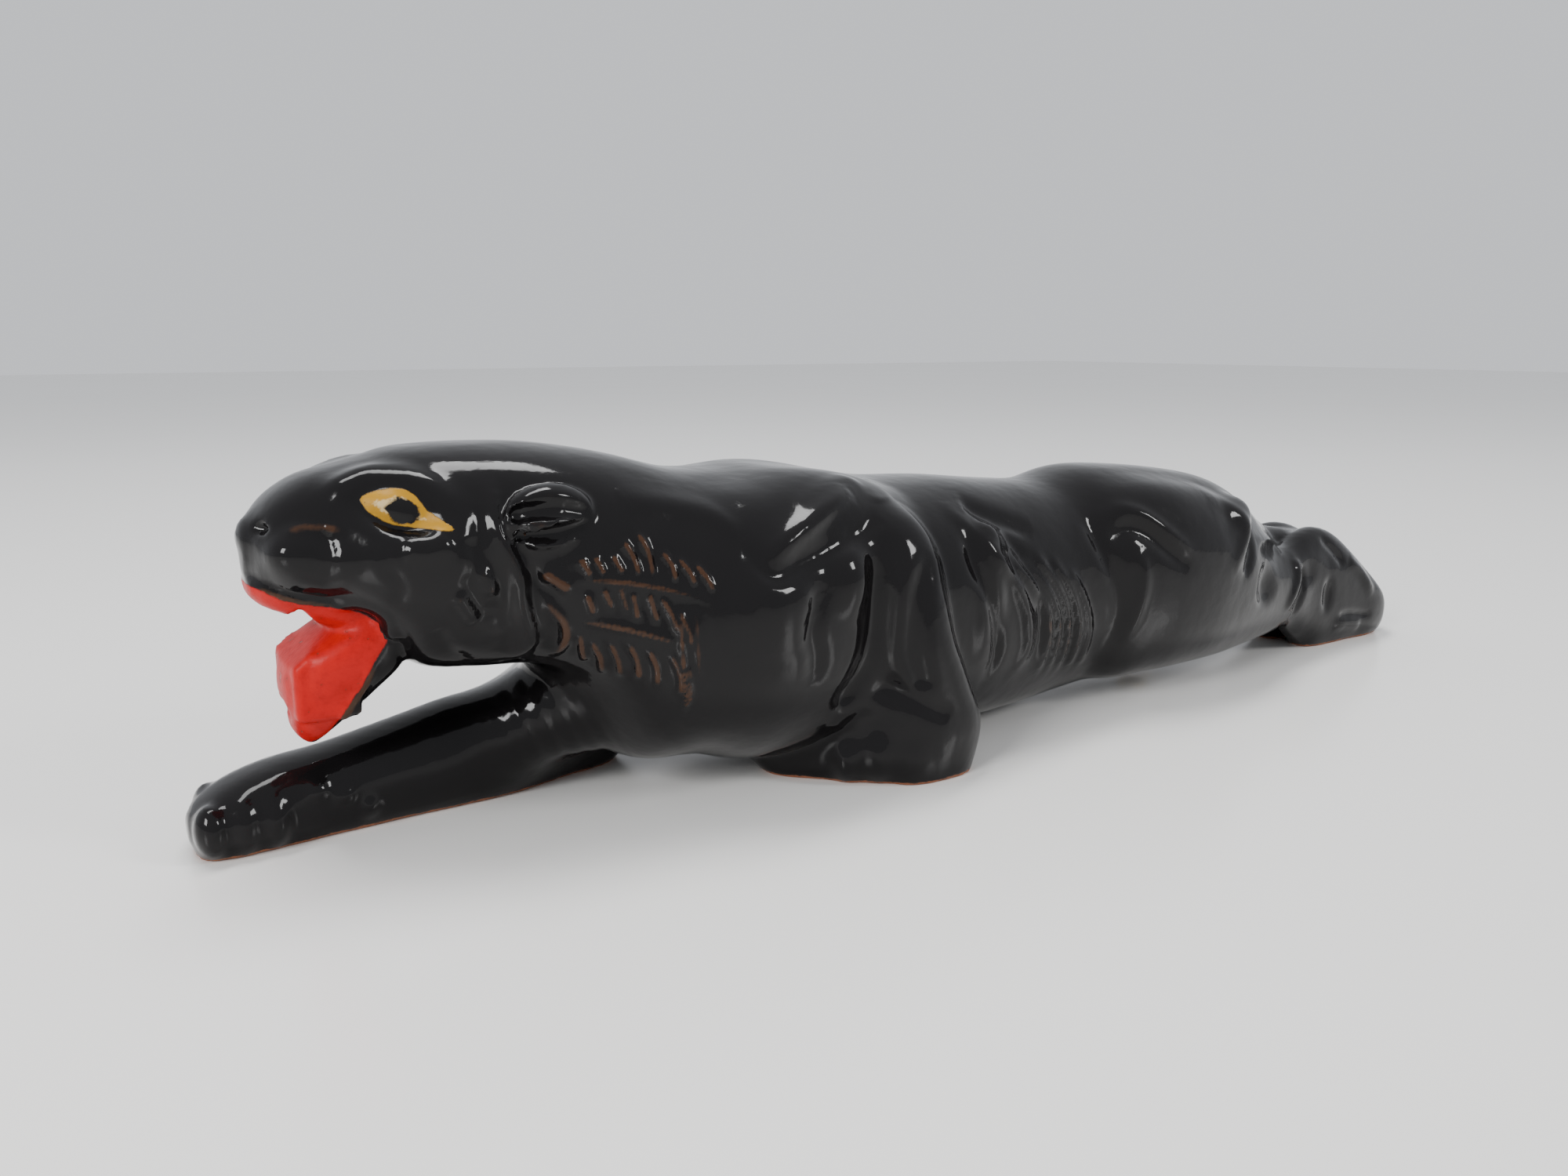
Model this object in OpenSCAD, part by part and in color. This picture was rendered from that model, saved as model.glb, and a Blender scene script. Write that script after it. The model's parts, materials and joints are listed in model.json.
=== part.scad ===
// Crawling panther lamp: a hollow glazed earthenware figure with a small back-light in its flank.
// The head points to -X, the displayed flank faces -Y and the light window faces +Y.
// Origin: middle of the figure's length and width, on the table.

/* [Figure] */
// Length over the stretched paw and the hind feet
overall_length = 406; // [330:1:500]
// Height of the crown of the head above the table
overall_height = 87; // [72:1:110]
// Thickness of the cast clay wall
wall_thickness = 5; // [4:0.5:6.5]

/* [Light window] */
// Length of the opening in the far flank
window_length = 116; // [90:1:130]
// Height of the opening in the far flank
window_height = 34; // [28:1:38]

/* [Bulb and socket] */
// Largest diameter of the bulb's glass
bulb_diameter = 22; // [18:0.5:26]
// Length of the glass beyond the cap
bulb_glass_length = 40; // [34:1:46]
// Diameter over the cap's thread
cap_diameter = 11.8; // [10:0.1:14]
// How far the bulb is drawn out to clear its socket
bulb_travel = 20; // [18:1:24]
// Height of the bulb's axis above the bracket's foot
bracket_rise = 24; // [21:1:27]

/* [Fixings] */
// Outside diameter of the threaded tube that holds the bracket
nipple_diameter = 9.6; // [8:0.2:11.6]
// Diameter of the switch's threaded bushing
bushing_diameter = 10; // [8.4:0.2:12]
// Diameter of the switch's body
switch_diameter = 24; // [20:0.5:28.8]
// Diameter of the knob
knob_diameter = 19; // [16:0.5:23]
// Hole through the cord grommet
cord_hole_diameter = 6.4; // [5.2:0.1:7.8]
// Diameter of an insulated lead
lead_diameter = 2.4; // [2:0.1:2.9]

/* [Hidden] */

// The figure was drawn at its master size and is stretched to the sizes above.
master_length = 415;
master_height = 89;
master_middle = 4.5;
kx = overall_length / master_length;
kz = overall_height / master_height;

near_reach = 45.2;
far_leg_step = 0.7;
floor_cut = 40;
hollow_front = -128;
hollow_rear = 124;
skull_hollow_front = -178;

// Each station along a form: x, y, z, half width, reach up, reach down, squareness.
trunk = [
    [-187.8, 0, 68, 3.6, 3, 3.5, 2.4], [-186.6, 0, 68.4, 8.4, 6.4, 7.8, 2.6],
    [-184.4, 0, 69, 11.2, 8.8, 9.4, 2.7], [-181, 0, 69, 13.8, 11.6, 10.6, 2.7],
    [-176, 0, 69, 16.4, 14.2, 12, 2.6], [-169, 0, 68.5, 19.4, 16.4, 14, 2.5],
    [-163, 0, 66.5, 21.6, 19.8, 19, 2.5], [-156, 0, 64, 23.6, 24, 24, 2.5],
    [-144, 0, 62.5, 26.4, 26, 24.6, 2.4], [-130, 0, 60, 30, 28, 23.5, 2.3],
    [-118, 0, 55, 33.4, 31.4, 26, 2.3], [-107, 0, 49.5, 36, 34.6, 38.6, 2.3],
    [-92, 0.5, 45.5, 38.8, 34.6, 37.5, 2.4], [-80, 0.5, 44, 39.6, 35, 39.5, 2.5],
    [-65, 0, 43, 39.6, 36.2, 39.5, 2.5], [-48, 0, 42, 38.4, 35, 40.5, 2.5],
    [-30, 0, 41, 36.4, 33, 40, 2.4], [-8, 0, 40.5, 33.6, 32.3, 39.6, 2.4],
    [14, 0, 40.5, 30.2, 30, 39.4, 2.3], [31, 0, 41, 28.2, 28.6, 39, 2.2],
    [48, 0, 42, 29.4, 30.6, 38, 2.2], [66, 0, 41.5, 30.2, 30.4, 35.5, 2.2],
    [88, 0, 40, 29.4, 29.4, 32, 2.2], [104, 0, 38, 26.4, 28.2, 29.5, 2.2],
    [118, 0, 35, 22, 25.6, 26, 2.1], [131, 0, 32.5, 16.5, 20.4, 21, 2], [143, 0, 31, 10, 15, 13, 2],
    [151, 0, 30, 4, 6, 6, 2]];

palate = [
    [-185, 0, 60, 7, 3, 2, 2.4], [-182, 0, 60, 10.6, 4, 4.4, 2.6], [-175, 0, 58, 12, 5, 5.6, 2.8],
    [-167, 0, 54, 12, 6, 6, 2.6], [-160, 0, 50, 10, 6, 6, 2.4]];

jaw = [
    [-161, 0, 57, 10, 6, 4, 2.3], [-164.4, 0, 51.5, 14, 9, 8, 2.6],
    [-169.4, 0, 46, 14.6, 12, 11.6, 2.9], [-170.8, 0, 41.5, 13.8, 12, 12.4, 3],
    [-174.2, 0, 36.5, 12, 10, 9.4, 2.9], [-176.8, 0, 31.5, 9.8, 7, 6.2, 2.5],
    [-177.9, 0, 27.5, 6.4, 3.6, 3.6, 2.2], [-178.2, 0, 25.2, 2.6, 1.5, 1.5, 2]];

stretched_leg = [
    [-203, 11, 6, 4.4, 3, 3.6, 2.2], [-200.8, 11, 6.4, 8.4, 5, 8.6, 2.4],
    [-195, 11.4, 7, 10.8, 7.8, 10, 2.5], [-186, 12, 8, 11.2, 9.4, 11, 2.5],
    [-174, 12.6, 8.5, 11, 10.4, 11.5, 2.4], [-160, 13.5, 9.5, 11.4, 12, 12.5, 2.3],
    [-146, 14, 11, 11.8, 13.4, 14, 2.3], [-131, 15, 13, 12.4, 14, 16, 2.3],
    [-116, 18, 18.5, 13, 17, 21, 2.3], [-101, 21, 26, 13.5, 22, 27.6, 2.3],
    [-85, 22, 36, 11, 20, 22, 2.2], [-70, 20, 40, 7, 11, 11, 2]];

folded_arm = [
    [-34, -30, -4, 13, 12.4, 14, 2.7], [-33, -31.6, 12, 13.4, 14.6, 14, 2.7],
    [-36, -32.4, 24, 12.6, 13.4, 13, 2.6], [-40, -32.6, 36, 12.2, 12.4, 12, 2.4],
    [-42.6, -31.6, 48, 11.8, 12.4, 12, 2.4], [-44.4, -29.4, 60, 11, 12, 11, 2.4],
    [-45.6, -26.5, 67, 9.2, 9.6, 8.4, 2.3], [-46, -24, 71, 4.6, 4.8, 4, 2]];

folded_paw = [
    [-20.5, -29, 8, 4, 4, 5, 2.2], [-25.5, -28.5, 9, 12.4, 10, 12, 2.5],
    [-35, -28, 10.5, 16, 14, 14, 2.6], [-45, -27, 11, 15.8, 16.6, 14, 2.6],
    [-54, -23, 11, 13.6, 17.6, 14, 2.5], [-62, -18, 10.5, 10.6, 16.5, 13, 2.4],
    [-69.5, -14, 9, 7.6, 10, 9.5, 2.3], [-74, -12, 9, 3.6, 4, 4, 2]];

tail = [
    [112, 0.7, 52, 7, 7, 7, 2], [126, 0.7, 48.6, 6.4, 6, 7, 2], [142, 0.7, 41.6, 5.6, 5, 7, 2],
    [158, 0.7, 38.6, 5, 4.8, 6, 2], [172, 0.7, 36, 4.6, 4.4, 6, 2],
    [185, 0.7, 29.4, 4.6, 4.4, 6, 2], [197, 0.7, 21.6, 4.6, 4.4, 6, 2],
    [206, 0.7, 14, 4.2, 4, 5, 2], [210, 0.7, 10.4, 2.4, 2.4, 3, 2]];

near_hind = [
    [30, -13, 42, 7, 15, 19, 2.1], [46, -16, 41, 13.6, 25, 32, 2.2], [64, -17, 40, 16, 28, 32, 2.3],
    [84, -17, 38, 15.4, 26.5, 30, 2.3], [100, -16.4, 35, 13.2, 22, 27, 2.2],
    [112, -15.4, 31.5, 11.2, 16.5, 23, 2.1], [123, -14, 28, 9.6, 13.5, 19, 2.1],
    [134, -12.2, 26, 8.8, 13.4, 16.6, 2.1], [146, -10, 25, 8.6, 14.6, 15, 2.2],
    [157, -8, 24, 8.4, 19, 20, 2.4], [166, -7, 22, 8.6, 22, 24, 2.5],
    [176, -6.4, 19, 8.8, 22, 22, 2.5], [188, -6, 15, 8.8, 18.4, 17.5, 2.5],
    [199, -6, 12, 8.6, 13, 14.5, 2.5], [207, -6, 10, 7.2, 8.6, 11, 2.4],
    [211, -6, 9.4, 4.2, 4.4, 5, 2.2], [212, -6, 9.4, 1.8, 1.8, 2, 2]];

// Fixings, from the underside of the belly upwards, and outwards along each axis.
rubber_thick = 1.5;
steel_thick = 1;
nut_height = 3;
nut_flats = 14;
sheet = 1.2;
hole_clearance = 0.4;
slip = 0.07;
seat_height = 9;
fixing_x = gx(84);
boss_reach = 15;
clay_top = seat_height + wall_thickness;
foot_bottom = clay_top + rubber_thick;
foot_top = foot_bottom + sheet;
bulb_axis = foot_bottom + bracket_rise;
riser_x = fixing_x - nipple_diameter / 2 - 8.2;
nipple_bottom = seat_height - rubber_thick - steel_thick - nut_height - 1.4;
nipple_top = foot_top + steel_thick + nut_height + 1.8;
nipple_wall = 1.6;
washer_reach = nipple_diameter / 2 + 4.6;

// Socket and bulb, measured from the bracket's riser outwards along the bulb's axis.
socket_length = 24;
socket_base = 5;
shell_gap = 0.3;
shell_sheet = 0.5;
shell_reach = cap_diameter / 2 + shell_gap;
socket_bore = shell_reach + shell_sheet + 0.03;
socket_reach = socket_bore + 4.3;
rivet_reach = 1.5;
rivet_offset = socket_bore - 2.1;
contact_reach = rivet_offset - 2.1;
tip_start = socket_base + 1.3;
insulator_start = tip_start + 1.2;
cap_start = insulator_start + 2;
cap_length = 13;
glass_start = cap_start + cap_length;
glass_sheet = 0.7;
neck_reach = cap_diameter / 2 - 1;
screw_reach = 1.5;
screw_head_reach = 3;
screw_head = 2;
screw_depth = 3.6;
flat_reach = socket_reach - 0.8;
ring_sheet = 1;
screw_along = 2.6;

// Light window in the far flank.
window_x = gx(22);
window_z = bulb_axis;

// Switch, in the far shoulder.
switch_x = gx(-84);
switch_z = 43 * kz;
switch_clay = 4;
switch_in = 33.4 * kx;
switch_out = switch_in + switch_clay;
switch_depth = 16;
fibre_thick = 1;
switch_back = switch_in - fibre_thick - switch_depth;
terminal_offset = 6;
lock_thick = 0.8;
ring_nut_height = 3;
ring_nut_flats = bushing_diameter + 4.4;
bushing_end = switch_out + lock_thick + ring_nut_height + 1.4;
shaft_reach = 3.1;
knob_gap = 0.8;
knob_height = 11.5;
knob_start = bushing_end + knob_gap;
knob_wall = 2;
knob_end = knob_start + knob_height;

// Cord inlet, behind the window.
inlet_x = gx(93);
inlet_z = 26 * kz;
inlet_out = 29 * kx;
inlet_in = inlet_out - wall_thickness;
grommet_neck = cord_hole_diameter / 2 + 1.6;
grommet_lip = grommet_neck + 2;
lip_thick = 1.6;

// The figure's own middle, so that the origin falls under the whole lamp.
side_shift = (near_reach * kx - knob_end) / 2;

lead_reach = lead_diameter / 2;
nut_length = 17;
nut_mouth_x = gx(118) - nut_length - 2.6;
nut_side = 7;
nut_z = 29 * kz;
$fn = 48;

// Smooth reading between stations, and closed skins stretched over them.
function unit(v) = v / norm(v);
function power(c, e) = sign(c) * pow(abs(c), e);
function gx(x) = (x - master_middle) * kx;
function sized(st) = [for (q = st)
    [gx(q[0]), q[1] * kx, q[2] * kz, q[3] * kx, q[4] * kz, q[5] * kz, q[6]]];
function risen(st) = [for (q = st)
    [gx(q[0]), q[1] * kx, q[2] * kz, q[3] * kx, q[4] * kx, q[5] * kx, q[6]]];
function thinned(st, t) = [for (q = st) [q[0], q[1], q[2], q[3] - t, q[4] - t, q[5] - t, q[6]]];
function between(st, lo, hi) = [for (q = st) if (q[0] >= lo && q[0] <= hi) q];
function blend4(a, b, c, d, t) =
    0.5 * (2 * b + (c - a) * t + (2 * a - 5 * b + 4 * c - d) * t * t
        + (3 * b - a - 3 * c + d) * t * t * t);
function station(st, s) =
    let (n = len(st) - 1, i = min(floor(s * n), n - 1), t = s * n - i)
    blend4(st[max(i - 1, 0)], st[i], st[i + 1], st[min(i + 2, n)], t);
function spot(q) = [q[0], q[1], q[2]];
function heading(st, s) =
    unit(spot(station(st, min(s + 0.01, 1))) - spot(station(st, max(s - 0.01, 0))));
function ring(st, s, guide, sides, axis) =
    let (q = station(st, s), t = is_undef(axis) ? heading(st, s) : axis,
        u = unit(cross(t, guide)), v = cross(u, t))
    [for (k = [0 : sides - 1])
        let (c = cos(360 * k / sides), h = sin(360 * k / sides), e = 2 / q[6])
        spot(q) + u * q[3] * power(c, e) + v * (h > 0 ? q[4] : q[5]) * power(h, e)];

module skin(st, rings, sides, guide = [0, 0, 1], axis = [1, 0, 0]) {
    points = [for (r = [0 : rings - 1]) each ring(st, r / (rings - 1), guide, sides, axis)];
    walls = [for (r = [0 : rings - 2], k = [0 : sides - 1])
        let (a = r * sides + k, b = r * sides + (k + 1) % sides)
        each [[a, b, b + sides], [a, b + sides, a + sides]]];
    first = [for (k = [sides - 1 : -1 : 0]) k];
    last = [for (k = [0 : sides - 1]) (rings - 1) * sides + k];
    polyhedron(points, concat(walls, [first, last]));
}

module lump(at, reach) {
    translate([gx(at[0]), at[1] * kx, at[2] * kz])
        scale([reach[0] * kx, reach[1] * kx, reach[2] * kz]) sphere(1, $fn = 20);
}

module mirrored() {
    children();
    mirror([0, 1, 0]) children();
}

// A local Z axis that runs from the riser towards the head, or out of the far flank.
module along_bulb(start = 0) {
    translate([riser_x - start, 0, bulb_axis]) rotate([0, -90, 0]) children();
}

module along_switch(start = 0) {
    translate([switch_x, start, switch_z]) rotate([-90, 0, 0]) children();
}

module along_inlet(start = 0) {
    translate([inlet_x, start, inlet_z]) rotate([-90, 0, 0]) children();
}

module tube(height, outer, inner) {
    difference() {
        cylinder(h = height, r = outer);
        translate([0, 0, -1]) cylinder(h = height + 2, r = inner);
    }
}

module hex_nut(height, flats, inner) {
    difference() {
        cylinder(h = height, d = flats / cos(30), $fn = 6);
        translate([0, 0, -1]) cylinder(h = height + 2, r = inner);
    }
}

module ear() {
    translate([gx(-130), -25.5 * kx, 74.5 * kz]) rotate([12, 0, 12]) difference() {
        scale([11.5, 5.6, 7.4]) sphere(1, $fn = 18);
        translate([0.8, -4.6, -0.4]) scale([8.6, 3.6, 4.8]) sphere(1, $fn = 14);
    }
}

// The animal's outside, in one skin and the limbs that run into it.
module animal() {
    skin(sized(trunk), 51, 30);
    skin(sized(tail), 11, 10);
    skin(sized(palate), 8, 14);
    skin(risen(jaw), 11, 16, [1, 0, 0], [0, 0, -1]);
    skin(sized(stretched_leg), 22, 18);
    skin(risen(folded_arm), 12, 18, [1, 0, 0], [0, 0, 1]);
    skin(sized(folded_paw), 13, 16, axis = [-1, 0, 0]);
    skin(sized(near_hind), 24, 14);
    translate([-far_leg_step, 0, 0]) mirror([0, 1, 0]) skin(sized(near_hind), 24, 14);
    mirrored() ear();
    mirrored() lump([-152, -14.5, 66], [19, 12.6, 12]);
    mirrored() lump([-177, -8.4, 67], [9, 10, 8]);
    mirrored() lump([-82, -24, 46], [26, 18.4, 28]);
    mirrored() lump([-60, -18, 60], [26, 17, 17]);
}

module hollow() {
    inside = between(sized(trunk), gx(skull_hollow_front), gx(hollow_rear));
    skin(thinned(inside, wall_thickness), 30, 18);
}

module window_cut() {
    half = window_length / 2 - window_height / 2;
    translate([window_x, 0, window_z]) rotate([-90, 0, 0]) translate([0, 0, bulb_diameter / 2 + 1.5]) {
        translate([-half, -window_height / 2, 0]) cube([2 * half, window_height, overall_length / 4]);
        for (side = [-1, 1]) translate([side * half, 0, 0])
            cylinder(h = overall_length / 4, d = window_height, $fn = 36);
    }
}

// The clay round the bracket's hole stands up as a level pad inside the belly.
module cast_shape() {
    resize([overall_length, 0, 0], auto = true) union() {
        difference() {
            animal();
            hollow();
            window_cut();
            translate([0, 0, -floor_cut / 2])
                cube([2 * overall_length, overall_length, floor_cut], center = true);
        }
        translate([fixing_x, 0, seat_height - 1])
            cylinder(h = wall_thickness + 1, r = boss_reach, $fn = 40);
    }
}

module panther_casting() {
    color("#101114") difference() {
        cast_shape();
        translate([fixing_x, 0, -1]) cylinder(h = seat_height + 1, r = washer_reach + 1.5);
        translate([fixing_x, 0, 0])
            cylinder(h = 2 * seat_height + 20, d = nipple_diameter + 2 * hole_clearance);
        translate([fixing_x, 0, clay_top]) cylinder(h = 12, r = boss_reach);
        along_switch(switch_in - switch_depth - 4)
            cylinder(h = switch_depth + 4, r = switch_diameter / 2 + 1.5);
        along_switch(switch_out) cylinder(h = 12, r = ring_nut_flats / 2 + 3);
        along_switch(0) cylinder(h = switch_out + 12, d = bushing_diameter + 2 * hole_clearance);
        along_inlet(inlet_in - 10) cylinder(h = 10, r = grommet_lip + 1);
        along_inlet(inlet_out) cylinder(h = 12, r = grommet_lip + 1);
        along_inlet(inlet_in - 10) cylinder(h = 40, r = grommet_neck);
    }
}

module socket_bracket() {
    color("#8c8f92") difference() {
        union() {
            translate([riser_x, -9.5, foot_bottom])
                cube([fixing_x - riser_x, 19, sheet]);
            translate([fixing_x, 0, foot_bottom]) cylinder(h = sheet, r = 9.5);
            translate([riser_x, -9.5, foot_bottom]) cube([sheet, 19, bracket_rise]);
            translate([riser_x, 0, bulb_axis]) rotate([0, 90, 0]) cylinder(h = sheet, r = 9.5);
        }
        translate([fixing_x, 0, foot_bottom - 1]) cylinder(h = sheet + 2, d = nipple_diameter + 0.5);
        for (side = [-1, 1]) translate([riser_x - 1, 0, bulb_axis + side * rivet_offset])
            rotate([0, 90, 0]) cylinder(h = sheet + 2, r = rivet_reach + 0.05);
    }
}

module mounting_nipple() {
    color("#b08d4a") translate([fixing_x, 0, nipple_bottom]) difference() {
        rotate_extrude() polygon([
            [0, 0], [nipple_diameter / 2 - 0.6, 0], [nipple_diameter / 2, 0.6],
            [nipple_diameter / 2, nipple_top - nipple_bottom - 0.6],
            [nipple_diameter / 2 - 0.6, nipple_top - nipple_bottom], [0, nipple_top - nipple_bottom]]);
        translate([0, 0, -1])
            cylinder(h = nipple_top - nipple_bottom + 2, r = nipple_diameter / 2 - nipple_wall);
    }
}

module nipple_nuts() {
    color("#9c9a94") {
        translate([fixing_x, 0, seat_height - rubber_thick - steel_thick - nut_height])
            hex_nut(nut_height, nut_flats, nipple_diameter / 2 + 0.03);
        translate([fixing_x, 0, foot_top + steel_thick])
            hex_nut(nut_height, nut_flats, nipple_diameter / 2 + 0.03);
    }
}

module steel_washers() {
    color("#a9abad") {
        translate([fixing_x, 0, seat_height - rubber_thick - steel_thick])
            tube(steel_thick, washer_reach, nipple_diameter / 2 + 0.25);
        translate([fixing_x, 0, foot_top])
            tube(steel_thick, nut_flats / 2 + 1.4, nipple_diameter / 2 + 0.25);
    }
}

module rubber_washers() {
    color("#2a2724") {
        translate([fixing_x, 0, seat_height - rubber_thick])
            tube(rubber_thick, washer_reach, nipple_diameter / 2 + 0.2);
        translate([fixing_x, 0, clay_top]) tube(rubber_thick, washer_reach, nipple_diameter / 2 + 0.2);
    }
}

module socket_body() {
    color("#3a2418") difference() {
        along_bulb() union() {
            cylinder(h = socket_length - 1.5, r = socket_reach);
            cylinder(h = socket_length, r = socket_reach - 1.2);
        }
        along_bulb(socket_base) cylinder(h = socket_length, r = socket_bore);
        for (side = [-1, 1]) {
            along_bulb() translate([side * rivet_offset, 0, -1])
                cylinder(h = socket_base + 2, r = rivet_reach + 0.05);
            translate([riser_x - screw_along, side * flat_reach, bulb_axis])
            rotate([side * -90, 0, 0]) {
                cylinder(h = 5, r = screw_head_reach + 0.8);
                translate([0, 0, -screw_depth]) cylinder(h = screw_depth + 1, r = screw_reach + 0.05);
            }
        }
    }
}

module socket_shell() {
    color("#c09a45") along_bulb(socket_base + 2) difference() {
        cylinder(h = socket_length - socket_base - 3, r = shell_reach + shell_sheet);
        translate([0, 0, -1]) cylinder(h = socket_length, r = shell_reach);
    }
}

module socket_contact() {
    color("#b98c3c") along_bulb(socket_base) rotate_extrude() polygon([
        [0, 0], [contact_reach, 0], [contact_reach, 0.5], [contact_reach - 0.9, 1.2], [0, 1.2]]);
}

module socket_rivets() {
    color("#b7b4aa") for (side = [-1, 1]) along_bulb(-sheet) translate([side * rivet_offset, 0, 0]) {
        cylinder(h = sheet + socket_base, r = rivet_reach);
        translate([0, 0, -1]) cylinder(h = 1, r = 2.6);
        translate([0, 0, sheet + socket_base]) cylinder(h = 0.9, r = 1.9);
    }
}

module socket_screws() {
    color("#c4a04e") for (side = [-1, 1])
        translate([riser_x - screw_along, side * (flat_reach + ring_sheet), bulb_axis])
            rotate([side * -90, 0, 0]) difference() {
                union() {
                    translate([0, 0, -ring_sheet - screw_depth + 0.4])
                        cylinder(h = ring_sheet + screw_depth, r = screw_reach);
                    cylinder(h = screw_head, r = screw_head_reach);
                }
                translate([-4, -0.4, screw_head - 0.8]) cube([8, 0.8, 2]);
            }
}

// Half profile of the glass, neck first: distance along the axis and reach, as shares of the whole.
glass_curve = [
    [-0.05, 0], [0, 0], [0.02, 0.03], [0.08, 0.2], [0.17, 0.5], [0.27, 0.78], [0.37, 0.94], [0.46, 1],
    [0.55, 0.985], [0.65, 0.92], [0.75, 0.8], [0.85, 0.62], [0.92, 0.44], [0.97, 0.27],
    [0.993, 0.12], [1, 0]];
function glass_point(p, inner) =
    let (r0 = p[0] < 0.9 ? neck_reach : neck_reach * (1 - p[0]) / 0.1, full = bulb_diameter / 2)
    [max(p[0] < 0.9 ? r0 + (full - r0) * p[1] - inner : full * p[1] - inner * p[1] * 1.2, 0),
     bulb_glass_length * p[0] - (p[0] > 0.5 ? inner * (p[0] - 0.5) * 2 : 0)];

module bulb_glass() {
    outer = [for (p = glass_curve) glass_point(p, 0)];
    inner = [for (k = [len(glass_curve) - 1 : -1 : 0]) glass_point(glass_curve[k], glass_sheet)];
    color("#e9e6da", 0.5) along_bulb(glass_start) rotate_extrude() polygon(concat(outer, inner));
}

module bulb_cap() {
    full = cap_diameter / 2;
    ridge = 0.45;
    turns = 5;
    pitch = (cap_length - 2) / turns;
    wave = [for (k = [0 : 2 * turns]) [full - (k % 2 == 0 ? ridge : 0), 1 + k * pitch / 2]];
    color("#c8a24c") along_bulb(cap_start) rotate_extrude() polygon(concat(
        [[full - 1.1, 0], [full - 0.7, 0]], wave,
        [[full - ridge, cap_length], [neck_reach + 0.03, cap_length],
         [neck_reach + 0.03, cap_length - 3], [neck_reach - 0.6, cap_length - 3.4],
         [full - 1.6, 0.6], [full - 1.6, 0]]));
}

module bulb_insulator() {
    color("#15161a") along_bulb(insulator_start)
        cylinder(h = cap_start - insulator_start, r1 = 2.3, r2 = cap_diameter / 2 - 0.75);
}

module bulb_tip() {
    color("#9ea0a2") along_bulb(tip_start) rotate_extrude() polygon([
        [0, 0], [1.1, 0], [1.7, 0.4],
        [2, insulator_start - tip_start], [0, insulator_start - tip_start]]);
}

module bulb_stem() {
    color("#dfe6e4", 0.6) along_bulb(glass_start - 2) {
        cylinder(h = 1.6, r = neck_reach - glass_sheet - 0.4);
        translate([0, 0, 1.6]) cylinder(h = 6, r1 = neck_reach - glass_sheet - 1.2, r2 = 1.5);
        translate([0, 0, 7.6]) cylinder(h = 4, r = 1.5);
    }
}

module bulb_filament() {
    color("#6d6a66") along_bulb(glass_start - 2) skin(wire_row([
        [-1, 0, 11.6], [-2.2, 0, 15.4], [-3.6, 0, 19.4], [-4.6, 0, 22], [-2.6, 0, 24.2],
        [0, 0, 25], [2.6, 0, 24.2], [4.6, 0, 22], [3.6, 0, 19.4], [2.2, 0, 15.4], [1, 0, 11.6]],
        filament_reach), 41, 8, [0, 1, 0], undef);
}

module switch_body() {
    color("#1d1512") difference() {
        along_switch(switch_back) union() {
            cylinder(h = switch_depth - 1.5, d = switch_diameter);
            cylinder(h = switch_depth, d = switch_diameter - 2.6);
        }
        along_switch(switch_in - fibre_thick - 9.4) cylinder(h = 12, r = shaft_reach + 0.3);
        for (side = [-1, 1])
            translate([switch_x + side * terminal_offset, switch_back - 1, switch_z])
            rotate([-90, 0, 0]) cylinder(h = screw_depth + 1, r = screw_reach + 0.05);
    }
}

module switch_bushing() {
    color("#b6bbbd") along_switch(switch_in - fibre_thick) tube(
        bushing_end - switch_in + fibre_thick, bushing_diameter / 2, shaft_reach + slip);
}

module switch_washer() {
    color("#5b2f1f") along_switch(switch_in - fibre_thick)
        tube(fibre_thick, bushing_diameter / 2 + 4.2, bushing_diameter / 2 + 0.2);
}

module switch_lock_washer() {
    color("#a7aaac") along_switch(switch_out) difference() {
        tube(lock_thick, ring_nut_flats / 2 + 0.8, bushing_diameter / 2 + 0.2);
        for (k = [0 : 11]) rotate(k * 30)
            translate([ring_nut_flats / 2 + 0.2, -0.5, -1]) cube([3, 1, 3]);
    }
}

module switch_nut() {
    color("#b9b7ae") along_switch(switch_out + lock_thick)
        hex_nut(ring_nut_height, ring_nut_flats, bushing_diameter / 2 + 0.03);
}

module switch_screws() {
    color("#c4a04e") for (side = [-1, 1])
        translate([switch_x + side * terminal_offset, switch_back - ring_sheet, switch_z])
        rotate([90, 0, 0]) difference() {
            union() {
                translate([0, 0, -ring_sheet - screw_depth + 0.4])
                    cylinder(h = ring_sheet + screw_depth, r = screw_reach);
                cylinder(h = screw_head, r = screw_head_reach);
            }
            translate([-4, -0.4, screw_head - 0.8]) cube([8, 0.8, 2]);
        }
}

module switch_shaft() {
    color("#c0c3c5") along_switch(switch_in - fibre_thick - 9)
        cylinder(h = knob_end - knob_wall - 0.1 - switch_in + fibre_thick + 9, r = shaft_reach);
}

module switch_knob() {
    flutes = 18;
    color("#2b1a12") along_switch(knob_start) difference() {
        rotate_extrude() polygon([
            [0, 0], [knob_diameter / 2, 0], [knob_diameter / 2, 2], [knob_diameter / 2 - 0.8, 2.6],
            [knob_diameter / 2 - 1.6, knob_height - 1.4], [knob_diameter / 2 - 2.8, knob_height - 0.2],
            [knob_diameter / 2 - 3.6, knob_height], [0, knob_height]]);
        for (k = [0 : flutes - 1]) rotate(k * 360 / flutes)
            translate([knob_diameter / 2 + 0.1, 0, 2.8]) cylinder(h = knob_height, r = 1, $fn = 24);
        translate([0, 0, -1]) cylinder(h = knob_height + 1 - knob_wall, r = shaft_reach + 0.02);
        translate([0, 0, 5]) rotate([0, 90, 0]) cylinder(h = knob_diameter, r = 1.55);
    }
}

module knob_screw() {
    color("#8f9294") along_switch(knob_start + 5) rotate([0, 90, 0]) difference() {
        translate([0, 0, shaft_reach + 0.02]) cylinder(h = 4, r = 1.5);
        translate([-2, -0.3, shaft_reach + 3.3]) cube([4, 0.6, 2]);
    }
}

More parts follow.
